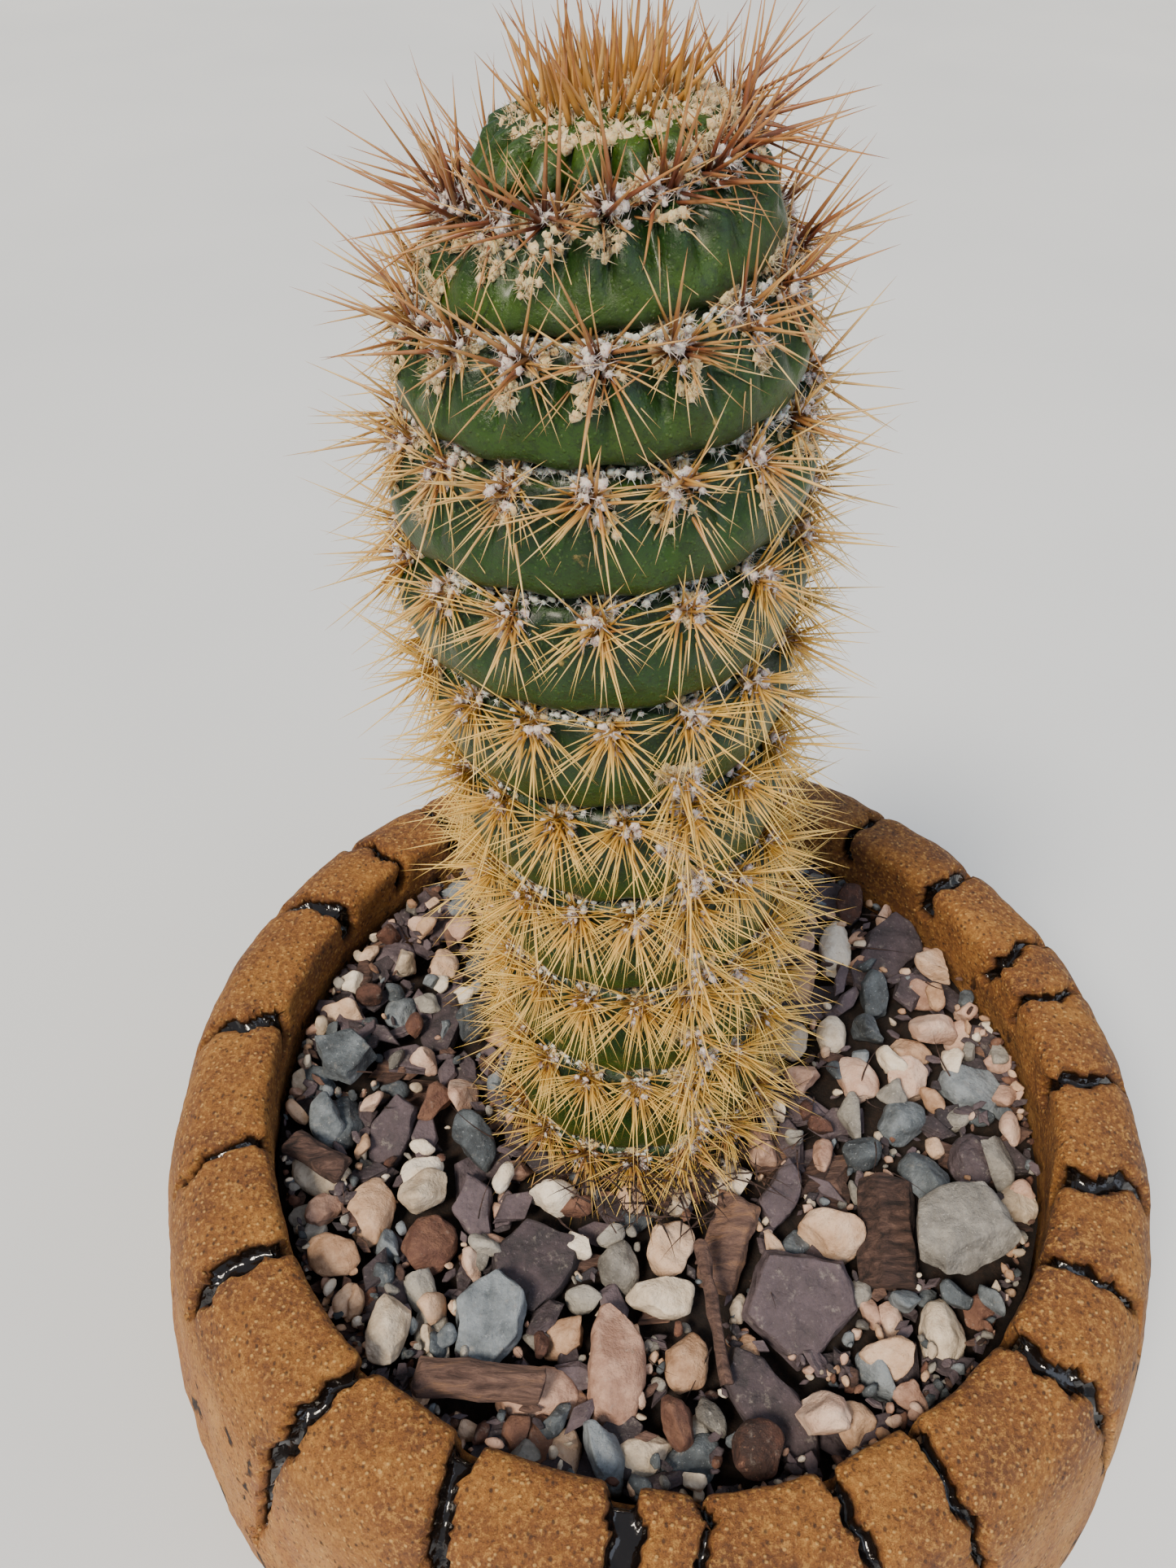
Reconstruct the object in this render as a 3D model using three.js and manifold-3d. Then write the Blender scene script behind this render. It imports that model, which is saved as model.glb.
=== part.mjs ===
// A rooted cutting of a spiral-ribbed cactus in a thick stoneware pot with a stone top dressing.
// Millimetres, +Z up. The origin is the middle of the pot's foot; the front of the plant faces -Y.
import * as THREE from "three";
import { ConvexGeometry } from "three/addons/geometries/ConvexGeometry.js";
import { mergeVertices } from "three/addons/utils/BufferGeometryUtils.js";
import Module from "manifold-3d";

const wasm = await Module();
wasm.setup();

// ---- driving dimensions ----
const POT_HEIGHT = 108;
const BELLY_RADIUS = 103;
const RIM_INNER_RADIUS = 75.5;
const FLOOR_THICKNESS = 13;
const DRAIN_RADIUS = 7;
const GRIT_TOP = POT_HEIGHT - 19;
const SOIL_TOP = GRIT_TOP - 12;
const STEM_HEIGHT = 186; // from the top of the grit to the growing point
const STEM_RADIUS = 27.4; // at the widest turn
const STEM_X = -4;
const STEM_Y = 7;
const STEM_LEAN = -9.5; // sideways drift of the growing point
const ROOT_DEPTH = 27; // how far the stem reaches below the grit's top
const FIRST_ROW_DROP = 7; // from the growing point to the front of the first spine row
const ROW_PITCH = 11.6; // height of the youngest turn
const PITCH_GROWTH = 0.8; // how much each older turn has stretched
const TURNS = 9;
const AREOLES_PER_TURN = 16;
const SPIRAL_WAVE = 0.3; // the spiral climbs a little faster behind than in front
const GROOVE_DEPTH = 5;
const SPINE_LENGTH = 14;
const SPINE_RADIUS = 0.6;
const SPINE_SINK = 1.2; // how deep a spine's base sits in the flesh
const BARE_FOOT = 22; // the lowest part of the stem, among the stones, has no separate spines
const CREST_SPINES = 26;
const CREST_RADIUS = 11;
const CREST_TURNS = 3; // the crest's spines stand on a small spiral
const CREST_FALL = 0.02; // how fast the crest's cushion falls away from its middle
const CRACK_DEPTH = 3;
const CRACK_CLEARANCE = 4; // how far a crack's cutter stands above the rim
const GRIT_ROUGHNESS = 1.6;

// ---- clearances ----
const GAP = 0.3; // between neighbouring solids
const ROOT_GAP = 0.5; // round the ribbed stem, measured sideways
const SETTLE_STEP = 0.5; // a stone is lifted by this much until it lies free
const SETTLE_SHIFT = 2.5; // spacing of the spots it tries
const SETTLE_RINGS = 2;
const SETTLE_LIMIT = 40;

// ---- fineness ----
const POT_SEGMENTS = 40;
const STEM_SEGMENTS = 32;
const STEM_ROWS = 64;
const GRIT_RINGS = 5;
const MERGE = 1e-4;
const LARGE_STONE = 14; // longer stones get a finer skin

const LAYOUT_RADIUS = 75.5; // the stone layout below is drawn for a bed of this radius

const TAU = Math.PI * 2;

function solid(geometry) {
  const bare = new THREE.BufferGeometry();
  const flat = geometry.index ? geometry.toNonIndexed() : geometry;
  bare.setAttribute("position", flat.getAttribute("position"));
  const merged = mergeVertices(bare, MERGE);
  const mesh = new wasm.Mesh({
    numProp: 3,
    vertProperties: new Float32Array(merged.attributes.position.array),
    triVerts: new Uint32Array(merged.index.array),
  });
  return new wasm.Manifold(mesh);
}

function geometryOf(body) {
  const mesh = body.getMesh();
  const geometry = new THREE.BufferGeometry();
  geometry.setAttribute("position", new THREE.BufferAttribute(new Float32Array(mesh.vertProperties), 3));
  geometry.setIndex(new THREE.BufferAttribute(new Uint32Array(mesh.triVerts), 1));
  const flat = geometry.toNonIndexed();
  flat.computeVertexNormals();
  return flat;
}

// A steady value from 0 to 1 for each pair of whole numbers, so every build is the same.
function chance(a, b) {
  const wave = Math.sin(a * 12.9898 + b * 78.233) * 43758.5453;
  return wave - Math.floor(wave);
}

function fade(from, to, value) {
  return THREE.MathUtils.smoothstep(value, from, to);
}

// The value at x on a chain of [x, value] pairs in rising x.
function along(chain, x) {
  if (x <= chain[0][0]) return chain[0][1];
  for (let i = 1; i < chain.length; i++) {
    const [x0, v0] = chain[i - 1];
    const [x1, v1] = chain[i];
    if (x <= x1) return THREE.MathUtils.mapLinear(x, x0, x1, v0, v1);
  }
  return chain[chain.length - 1][1];
}

function revolve(profile) {
  const points = profile.map(([radius, z]) => new THREE.Vector2(radius, z));
  points.push(points[0].clone());
  const lathe = new THREE.LatheGeometry(points, POT_SEGMENTS);
  lathe.rotateX(Math.PI / 2);
  return solid(lathe);
}

// ---- pot ----
// Outside of the wall from foot to lip: share of the belly radius, share of the height.
const OUTER_WALL = [
  [0.76, 0],
  [0.84, 0.03],
  [0.92, 0.12],
  [0.975, 0.26],
  [1, 0.42],
  [0.995, 0.56],
  [0.965, 0.72],
  [0.93, 0.87],
  [0.9, 0.945],
  [0.865, 0.98],
];

// Inside of the wall from floor to lip: height above the foot, distance inside the rim's edge.
const CAVITY = [
  [FLOOR_THICKNESS, -25],
  [FLOOR_THICKNESS + 5, -10],
  [FLOOR_THICKNESS + 19, 1],
  [FLOOR_THICKNESS + 37, 4],
  [POT_HEIGHT - 34, 3.2],
  [POT_HEIGHT - 18, 1.4],
  [POT_HEIGHT - 8, 0.2],
  [POT_HEIGHT - 2.5, 0],
];

function cavityRadius(z) {
  return RIM_INNER_RADIUS + along(CAVITY, z);
}

function outerPoints() {
  return OUTER_WALL.map(([share, rise]) => [share * BELLY_RADIUS, rise * POT_HEIGHT]);
}

function cavityPoints(inset, top) {
  const low = CAVITY.filter(([z]) => z < top - 1);
  const points = low.map(([z]) => [cavityRadius(z) - inset, z + inset]);
  points.push([cavityRadius(top) - inset, top]);
  return points;
}

function potBody() {
  const lip = [
    [RIM_INNER_RADIUS + 9, POT_HEIGHT - 0.7],
    [RIM_INNER_RADIUS + 4, POT_HEIGHT],
    [RIM_INNER_RADIUS + 1.2, POT_HEIGHT - 0.6],
  ];
  const inside = cavityPoints(0, POT_HEIGHT - 2.5).reverse();
  const drain = [
    [DRAIN_RADIUS, FLOOR_THICKNESS],
    [DRAIN_RADIUS, 0],
  ];
  return revolve([...outerPoints(), ...lip, ...inside, ...drain]);
}

// What stays whole behind the cracks: the upper wall with its skin taken off.
function crackFloor() {
  const low = POT_HEIGHT * 0.5;
  const wall = outerPoints().filter(([, z]) => z > low);
  const outside = wall.map(([radius, z]) => [radius - CRACK_DEPTH, z - CRACK_DEPTH * 0.8]);
  const inside = [
    [RIM_INNER_RADIUS + 8, POT_HEIGHT - CRACK_DEPTH],
    [RIM_INNER_RADIUS + 4.5, POT_HEIGHT - CRACK_DEPTH - 1],
    [RIM_INNER_RADIUS + CRACK_DEPTH, POT_HEIGHT - 8],
    [cavityRadius(low) + CRACK_DEPTH, low],
  ];
  return revolve([...outside, ...inside]);
}

// Each crack crosses the rim: bearing in degrees from +X, width, how far it runs down the wall,
// and how far it is turned from straight out.
const CRACKS = [
  [-165, 1.6, 8, 8],
  [-150, 3.5, 12, -4],
  [-131, 3, 34, -8],
  [-114, 3, 16, 10],
  [-96, 4.5, 22, 3],
  [-87, 1.3, 7, 0],
  [-72, 2.2, 14, 8],
  [-61, 1.8, 24, 6],
  [-43, 3.5, 30, 14],
  [-30, 2, 16, 4],
  [-17, 4, 10, 8],
  [-2, 3, 9, 12],
  [12, 2, 8, 8],
  [20, 2.2, 8, 12],
  [36, 3.2, 9, 0],
  [52, 1.6, 12, -6],
  [71, 2.6, 15, 5],
  [92, 1.6, 9, -4],
  [110, 3, 18, 6],
  [127, 2.2, 8, 8],
  [139, 1.6, 9, 8],
  [153, 3.6, 10, 12],
  [175, 3.4, 9, 10],
];

function crackSlab(bearing, width, drop, turn) {
  const reach = BELLY_RADIUS - RIM_INNER_RADIUS + 8;
  const height = drop + CRACK_CLEARANCE;
  const slab = new THREE.BoxGeometry(reach, width, height);
  slab.rotateZ(THREE.MathUtils.degToRad(turn));
  slab.translate(RIM_INNER_RADIUS + reach / 2 - 6, 0, POT_HEIGHT + CRACK_CLEARANCE - height / 2);
  slab.rotateZ(THREE.MathUtils.degToRad(bearing));
  return solid(slab);
}

function makePot() {
  const floor = crackFloor();
  let pot = potBody();
  for (const [bearing, width, drop, turn] of CRACKS) {
    const slab = crackSlab(bearing, width, drop, turn);
    pot = pot.subtract(slab.subtract(floor));
  }
  return pot;
}

// ---- stem ----
const APEX_Z = GRIT_TOP + STEM_HEIGHT;
const ROOT_Z = GRIT_TOP - ROOT_DEPTH;

// Outline of the stem from the growing point down: share of the widest radius, depth below the apex.
const STEM_OUTLINE = [
  [0, 0],
  [0.2, 0.5],
  [0.38, 2],
  [0.47, 4.6],
  [0.6, 8.6],
  [0.74, 15],
  [0.85, 22.5],
  [0.92, 30.5],
  [1, 46],
  [1, 62],
  [0.94, 80],
  [0.91, 106],
  [0.91, 140],
  [0.93, 178],
  [0.9, 190],
];

function stemCurve() {
  const above = STEM_OUTLINE.filter(([, depth]) => depth < STEM_HEIGHT + ROOT_DEPTH - 20);
  const points = above.map(([share, depth]) => new THREE.Vector2(share * STEM_RADIUS, APEX_Z - depth));
  points.push(new THREE.Vector2(STEM_RADIUS * 0.72, ROOT_Z + 8));
  points.push(new THREE.Vector2(STEM_RADIUS * 0.4, ROOT_Z + 2));
  points.push(new THREE.Vector2(0, ROOT_Z));
  return new THREE.SplineCurve(points);
}

function stemCentre(z) {
  const rise = THREE.MathUtils.clamp((z - GRIT_TOP) / STEM_HEIGHT, 0, 1);
  return [STEM_X + STEM_LEAN * fade(0.15, 0.75, rise), STEM_Y];
}

function rowHeight(turn) {
  return APEX_Z - FIRST_ROW_DROP - ROW_PITCH * turn - PITCH_GROWTH * turn * turn;
}

function turnAt(z) {
  const fall = APEX_Z - FIRST_ROW_DROP - z;
  const root = Math.sqrt(Math.max(0, ROW_PITCH * ROW_PITCH + 4 * PITCH_GROWTH * fall));
  return (root - ROW_PITCH) / (2 * PITCH_GROWTH);
}

// Share of a turn that the spiral has climbed at a bearing measured from the front.
function climb(bearing) {
  return (bearing - SPIRAL_WAVE * Math.sin(bearing)) / TAU;
}

// One turn from a spine row down to the next: a bulging roll over a tight groove.
const ROLL = [
  [0, 0.5],
  [0.12, 0.74],
  [0.4, 1],
  [0.66, 0.97],
  [0.82, 0.7],
  [0.93, 0],
  [1, 0.5],
];

function grooveCut(bearing, z) {
  const turn = turnAt(z) + climb(bearing);
  const youth = 1 - 0.75 * fade(APEX_Z - 30, APEX_Z - 8, z);
  const depth = GROOVE_DEPTH * youth * fade(GRIT_TOP - 12, GRIT_TOP + 2, z);
  return depth * (1 - along(ROLL, turn - Math.floor(turn)));
}

function stemPoint(bearing, radius, z, swell) {
  const [cx, cy] = stemCentre(z);
  const cut = grooveCut(bearing, z) * Math.min(1, radius / 10);
  const reach = radius > 0 ? Math.max(0.4, radius - cut) + swell : 0;
  return new THREE.Vector3(cx + reach * Math.sin(bearing), cy - reach * Math.cos(bearing), z);
}

// The ribbed flesh as a closed skin between two poles; swell widens it evenly for cutting its socket.
function stemFlesh(swell) {
  const stations = stemCurve().getSpacedPoints(STEM_ROWS);
  const skin = new THREE.SphereGeometry(1, STEM_SEGMENTS, STEM_ROWS);
  const position = skin.getAttribute("position");
  for (let row = 0; row <= STEM_ROWS; row++) {
    const pole = row === 0 || row === STEM_ROWS;
    const lift = row === 0 ? swell : row === STEM_ROWS ? -swell : 0;
    for (let i = 0; i <= STEM_SEGMENTS; i++) {
      const bearing = ((i % STEM_SEGMENTS) / STEM_SEGMENTS) * TAU;
      const radius = pole ? 0 : stations[row].x;
      const point = stemPoint(bearing, radius, stations[row].y, swell);
      position.setXYZ(row * (STEM_SEGMENTS + 1) + i, point.x, point.y, point.z + lift);
    }
  }
  return solid(skin);
}

function spine(base, direction, length) {
  const cone = new THREE.ConeGeometry(SPINE_RADIUS, length, 4);
  cone.translate(0, length / 2 - SPINE_SINK, 0);
  const up = new THREE.Vector3(0, 1, 0);
  cone.applyQuaternion(new THREE.Quaternion().setFromUnitVectors(up, direction));
  cone.translate(base.x, base.y, base.z);
  return solid(cone);
}

function outward(bearing, lift) {
  const flat = Math.cos(lift);
  return new THREE.Vector3(flat * Math.sin(bearing), -flat * Math.cos(bearing), Math.sin(lift));
}

function outlineRadius(z) {
  const chain = STEM_OUTLINE.map(([share, depth]) => [depth, share * STEM_RADIUS]);
  return along(chain, APEX_Z - z);
}

// One strong central spine stands on every areole of the spiral above the stones.
function rowSpines() {
  const spines = [];
  const last = Math.floor(AREOLES_PER_TURN * TURNS);
  for (let k = 0; k < last; k++) {
    const bearing = -(k / AREOLES_PER_TURN) * TAU;
    const turn = -climb(bearing);
    const z = rowHeight(turn);
    if (z < GRIT_TOP + BARE_FOOT) continue;
    const lift = THREE.MathUtils.degToRad(38 - 9 * turn + 30 * (chance(k, 1) - 0.5));
    const swing = bearing + 0.35 * (chance(k, 2) - 0.5);
    const base = stemPoint(bearing, outlineRadius(z), z, -0.4);
    const length = SPINE_LENGTH * (0.8 + 0.35 * chance(k, 3));
    spines.push(spine(base, outward(swing, lift), length));
  }
  return spines;
}

// The crest: upright spines round the woolly growing point.
function crestSpines() {
  const spines = [];
  for (let k = 0; k < CREST_SPINES; k++) {
    const share = k / CREST_SPINES;
    const bearing = share * TAU * CREST_TURNS;
    const ring = THREE.MathUtils.lerp(3, CREST_RADIUS, share);
    const z = APEX_Z - CREST_FALL * ring * ring - 0.4;
    const base = stemPoint(bearing, ring, z, 0);
    const lift = Math.PI / 2 - 0.055 * ring;
    spines.push(spine(base, outward(bearing, lift), SPINE_LENGTH * (0.75 + 0.2 * chance(k, 4))));
  }
  return spines;
}

function makeStem() {
  let stem = stemFlesh(0);
  for (const one of [...rowSpines(), ...crestSpines()]) stem = stem.add(one);
  return stem;
}

// ---- growing medium ----
function makeSoil(socket) {
  const wall = cavityPoints(GAP, SOIL_TOP);
  const inner = DRAIN_RADIUS + 4;
  const body = revolve([[inner, FLOOR_THICKNESS + GAP], ...wall, [inner, SOIL_TOP + 2]]);
  const height = SOIL_TOP - FLOOR_THICKNESS + 1;
  const middle = new THREE.CylinderGeometry(inner + 1, inner + 1, height, 24);
  middle.rotateX(Math.PI / 2);
  middle.translate(0, 0, FLOOR_THICKNESS + GAP + height / 2 + 0.1);
  return body.add(solid(middle)).subtract(socket);
}

// Fine grit between the potting mix and the loose stones, with a rough top.
function makeGrit(socket) {
  const edge = cavityRadius(GRIT_TOP) - GAP;
  const inner = 6;
  const profile = [[inner, SOIL_TOP + 2 + GAP * 2]];
  profile.push([cavityRadius(SOIL_TOP) - GAP, SOIL_TOP + GAP * 2]);
  for (let i = 0; i < GRIT_RINGS; i++) {
    const radius = THREE.MathUtils.lerp(edge, inner, i / (GRIT_RINGS - 1));
    profile.push([radius, GRIT_TOP - (i === 0 ? 1 : 0)]);
  }
  const points = profile.map(([radius, z]) => new THREE.Vector2(radius, z));
  points.push(points[0].clone());
  const lathe = new THREE.LatheGeometry(points, POT_SEGMENTS);
  const position = lathe.getAttribute("position");
  for (let i = 0; i < position.count; i++) {
    const ring = i % points.length;
    const wedge = Math.floor(i / points.length) % POT_SEGMENTS;
    const hollow = GRIT_ROUGHNESS * chance(ring, wedge);
    if (ring > 2 && ring < GRIT_RINGS + 1) position.setY(i, position.getY(i) - hollow);
  }
  lathe.rotateX(Math.PI / 2);
  return solid(lathe).subtract(socket);
}

// ---- loose stones and bark ----
// A flat split plate with a many-cornered outline.
function plate(length, width, thickness, seed) {
  const corners = 5 + Math.floor(3 * chance(seed, 90));
  const points = [];
  for (let i = 0; i < corners; i++) {
    const angle = ((i + 0.6 * chance(seed, i)) / corners) * TAU;
    const reach = 0.85 + 0.25 * chance(seed, i + 20);
    const x = (length / 2) * reach * Math.cos(angle);
    const y = (width / 2) * reach * Math.sin(angle);
    points.push(new THREE.Vector3(x, y, -thickness * (0.36 + 0.12 * chance(seed, i + 40))));
    points.push(new THREE.Vector3(x * 0.9, y * 0.9, thickness * (0.36 + 0.14 * chance(seed, i + 60))));
  }
  return new ConvexGeometry(points);
}

// The flat chips knocked off one stone: a direction for each, and how far out it leaves the stone.
function chipPlanes(seed, count) {
  const planes = [];
  for (let i = 0; i < count; i++) {
    const level = 0.66 + 0.2 * chance(seed, i + 200);
    const normal = [0, 1, 2].map((axis) => chance(seed + i, axis + 300) - 0.5);
    planes.push({ level, normal: new THREE.Vector3(...normal).normalize() });
  }
  return planes;
}

// A worn pebble: a ball with a few flat chips; hardness 1 is round, lower is blockier.
function lump(length, width, thickness, seed, hardness, chips) {
  const ball = length > LARGE_STONE ? new THREE.IcosahedronGeometry(1, 1) : new THREE.DodecahedronGeometry(1);
  const corners = mergeVertices(ball.deleteAttribute("normal").deleteAttribute("uv"), MERGE);
  const source = corners.getAttribute("position");
  const planes = chipPlanes(seed, chips);
  const points = [];
  for (let i = 0; i < source.count; i++) {
    const point = new THREE.Vector3().fromBufferAttribute(source, i);
    for (const { level, normal } of planes) {
      point.addScaledVector(normal, -Math.max(0, point.dot(normal) - level));
    }
    const worn = (v) => Math.sign(v) * Math.abs(v) ** hardness;
    const reach = 0.92 + 0.12 * chance(seed, i);
    point.set(worn(point.x) * length, worn(point.y) * width, worn(point.z) * thickness);
    points.push(point.multiplyScalar(reach / 2));
  }
  return new ConvexGeometry(points);
}

// A torn strip of bark, square in section and ragged at both ends.
function strip(length, width, thickness, seed) {
  const points = [];
  for (const end of [-1, 1]) {
    for (let i = 0; i < 6; i++) {
      const angle = (i / 6) * TAU + 0.4 * chance(seed, i);
      const x = end * (length / 2) * (0.78 + 0.22 * chance(seed, i + 10 * end + 30));
      points.push(new THREE.Vector3(x, (width / 2) * Math.cos(angle), (thickness / 2) * Math.sin(angle)));
    }
  }
  return new ConvexGeometry(points);
}

const SHAPES = {
  slate: (l, w, t, seed) => plate(l, w, t, seed),
  pebble: (l, w, t, seed) => lump(l, w, t, seed, 0.95, 4),
  chunk: (l, w, t, seed) => lump(l, w, t, seed, 0.75, 7),
  bark: (l, w, t, seed) => strip(l, w, t, seed),
};

const COLOURS = {
  slate: 0x5f545c,
  bluestone: 0x6f7982,
  pink: 0xc9978a,
  cream: 0xd9cbba,
  tan: 0xcfa888,
  grey: 0x8f8c86,
  rust: 0x6a4438,
  bark: 0x5a4038,
};

// Every loose piece: shape, colour, x, y, length, width, thickness,
// bearing of its long side, tip to the front.
const PIECES = [
  ["slate", "slate", -23, -35, 22, 16, 5, 80, 15],
  ["slate", "bluestone", -31, -46, 20, 13, 6, 80, 18],
  ["pebble", "pink", -9, -53, 24, 12, 10, 92, 8],
  ["pebble", "tan", 1, -52, 13, 10, 9, 75, 5],
  ["pebble", "grey", -8, -35, 14, 9, 8, 95, 15],
  ["slate", "slate", 25, -42, 25, 21, 4, 20, 22],
  ["slate", "slate", 17, -59, 27, 12, 4, -50, 14],
  ["bark", "bark", 37, -29, 22, 12, 8, 85, 10],
  ["chunk", "grey", 54, -31, 24, 18, 9, 20, 8],
  ["pebble", "pink", 38, -44, 10, 7, 7, 90, 0],
  ["pebble", "pink", -22, -58, 16, 11, 9, 10, 0],
  ["pebble", "tan", -17, -67, 11, 8, 8, 80, 0],
  ["pebble", "cream", -7, -67, 13, 9, 8, 15, 0],
  ["pebble", "grey", 0, -64, 10, 6, 6, 90, 0],
  ["bark", "bark", -34, -62, 24, 7, 5, -4, 0],
  ["chunk", "rust", 14, -67, 12, 11, 8, 15, 0],
  ["pebble", "cream", -46, -17, 11, 9, 8, 30, 0],
  ["pebble", "tan", -52, -26, 15, 10, 9, 78, 0],
  ["pebble", "cream", -64, -20, 15, 9, 8, -25, 0],
  ["pebble", "tan", -62, -31, 13, 10, 8, -20, 0],
  ["chunk", "rust", -43, -32, 14, 12, 9, 60, 0],
  ["chunk", "slate", -53, -38, 14, 13, 8, 20, 0],
  ["pebble", "cream", -48, -49, 15, 8, 7, 80, 0],
  ["pebble", "grey", -40, -49, 13, 7, 7, 95, 0],
  ["slate", "slate", -34, -27, 15, 10, 5, 95, 20],
  ["slate", "slate", -53, -9, 18, 9, 4, 75, 28],
  ["chunk", "bluestone", -64, -9, 14, 11, 9, 90, 0],
  ["chunk", "bluestone", -69, 0, 12, 10, 8, -20, 0],
  ["bark", "bark", -68, -17, 15, 6, 5, -30, 0],
  ["chunk", "bluestone", -63, 14, 13, 12, 8, 0, 0],
  ["slate", "bluestone", -64, 5, 14, 12, 6, -20, 8],
  ["pebble", "bluestone", -55, 21, 12, 8, 7, 85, 0],
  ["slate", "slate", -67, 23, 13, 10, 5, 60, 0],
  ["chunk", "slate", -60, 34, 13, 11, 8, 45, 0],
  ["slate", "slate", -52, 44, 16, 10, 5, 50, 8],
  ["pebble", "tan", -49, 33, 12, 8, 7, 85, 0],
  ["slate", "slate", 57, 39, 20, 14, 5, 60, 16],
  ["pebble", "pink", 59, 27, 13, 9, 8, -20, 0],
  ["pebble", "cream", 47, 39, 19, 8, 7, 80, 0],
  ["slate", "slate", 43, 54, 15, 11, 5, 30, 8],
  ["pebble", "cream", 38, 16, 12, 8, 7, 80, 0],
  ["pebble", "tan", 54, 12, 12, 9, 7, -10, 0],
  ["pebble", "pink", 42, 5, 14, 11, 9, -50, 0],
  ["chunk", "bluestone", 65, 3, 15, 12, 9, -40, 0],
  ["chunk", "bluestone", 49, -5, 13, 11, 8, 40, 0],
  ["chunk", "bluestone", 40, -12, 12, 8, 8, 10, 0],
  ["chunk", "slate", 62, -13, 14, 12, 8, 50, 0],
  ["pebble", "cream", 66, -21, 13, 10, 9, 50, 0],
  ["slate", "slate", 23, -21, 16, 9, 4, 75, 28],
  ["bark", "bark", 12, -31, 19, 9, 5, 70, 15],
  ["slate", "slate", 22, 56, 18, 13, 5, 20, 0],
  ["pebble", "tan", 2, 61, 14, 11, 9, 40, 0],
  ["chunk", "bluestone", -17, 58, 15, 12, 9, -30, 0],
  ["slate", "slate", -35, 54, 17, 12, 5, 35, 6],
  ["bark", "bark", 8, -46, 25, 3, 3, 98, 12],
  ["pebble", "cream", -38, -7, 9, 7, 6, 20, 0],
];

function placed(shape, size, [x, y], bearing, tip, seed) {
  const geometry = SHAPES[shape](...size, seed);
  geometry.rotateZ(THREE.MathUtils.degToRad(bearing));
  geometry.rotateX(THREE.MathUtils.degToRad(tip));
  geometry.computeBoundingBox();
  geometry.translate(x, y, GRIT_TOP - GRIT_ROUGHNESS - geometry.boundingBox.min.z);
  return geometry;
}

function boxesMeet(a, b, z) {
  const flat = [0, 1].every((i) => a.min[i] < b.max[i] && b.min[i] < a.max[i]);
  return flat && a.min[2] + z < b.max[2] && b.min[2] < a.max[2] + z;
}

// The height at which a loose piece first lies free of everything placed, or the given limit.
function restHeight(loose, dx, dy, limit, neighbours) {
  const moved = loose.translate([dx, dy, 0]);
  const box = moved.boundingBox();
  for (let z = 0; z < limit; z += SETTLE_STEP) {
    const near = neighbours.filter((other) => boxesMeet(box, other.box, z));
    const lifted = moved.translate([0, 0, z]);
    if (near.every((other) => lifted.intersect(other.body).volume() <= 0)) return z;
  }
  return limit;
}

// Settles a piece: of a few nearby spots it takes the lowest, tested with a copy one gap larger all round.
function settle(piece, size, centre, neighbours) {
  const grow = size.map((side) => 1 + (2 * GAP) / side);
  const shifted = piece.translate([-centre.x, -centre.y, -centre.z]).scale(grow);
  const loose = shifted.translate([centre.x, centre.y, centre.z]);
  let best = { cost: SETTLE_LIMIT };
  for (let ring = 0; ring <= SETTLE_RINGS; ring++) {
    for (let i = 0; i < (ring ? 6 : 1); i++) {
      const dx = ring * SETTLE_SHIFT * Math.cos((i / 6) * TAU);
      const dy = ring * SETTLE_SHIFT * Math.sin((i / 6) * TAU);
      const z = restHeight(loose, dx, dy, best.cost - ring, neighbours);
      if (z + ring < best.cost) best = { cost: z + ring, dx, dy, z };
    }
  }
  return piece.translate([best.dx, best.dy, best.z]);
}

function settlePieces(fixed) {
  const neighbours = fixed.map((body) => ({ body, box: body.boundingBox() }));
  return PIECES.map(([shape, colour, x, y, length, width, thickness, bearing, tip], index) => {
    const spread = RIM_INNER_RADIUS / LAYOUT_RADIUS;
    const spot = [x * spread, y * spread];
    const geometry = placed(shape, [length, width, thickness], spot, bearing, tip, index + 1);
    geometry.computeBoundingBox();
    const size = geometry.boundingBox.getSize(new THREE.Vector3()).toArray();
    const centre = geometry.boundingBox.getCenter(new THREE.Vector3());
    const body = settle(solid(geometry), size, centre, neighbours);
    neighbours.push({ body, box: body.boundingBox() });
    return { body, shape, colour };
  });
}

// ---- assembly ----
function addMesh(group, name, body, color, roughness) {
  const material = new THREE.MeshStandardMaterial({ color, roughness, metalness: 0 });
  const mesh = new THREE.Mesh(geometryOf(body), material);
  mesh.name = name;
  group.add(mesh);
}

function buildPlant() {
  const group = new THREE.Group();
  const socket = stemFlesh(ROOT_GAP);
  const pot = makePot();
  const stem = makeStem();
  const soil = makeSoil(socket);
  const grit = makeGrit(socket);
  addMesh(group, "pot", pot, 0xa8662c, 0.8);
  addMesh(group, "potting_mix", soil, 0x2b1f18, 0.95);
  addMesh(group, "gravel_bed", grit, 0x5a5048, 0.9);
  addMesh(group, "stem", stem, 0x2f5a22, 0.4);
  const counts = {};
  for (const { body, shape, colour } of settlePieces([pot, stem, grit])) {
    counts[shape] = (counts[shape] || 0) + 1;
    const number = String(counts[shape]).padStart(2, "0");
    addMesh(group, shape + "_" + colour + "_" + number, body, COLOURS[colour], 0.85);
  }
  return group;
}

export default buildPlant();
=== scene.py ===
import bisect
import math
import random

import bmesh
import bpy
from mathutils import Matrix, Quaternion, Vector, noise


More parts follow.
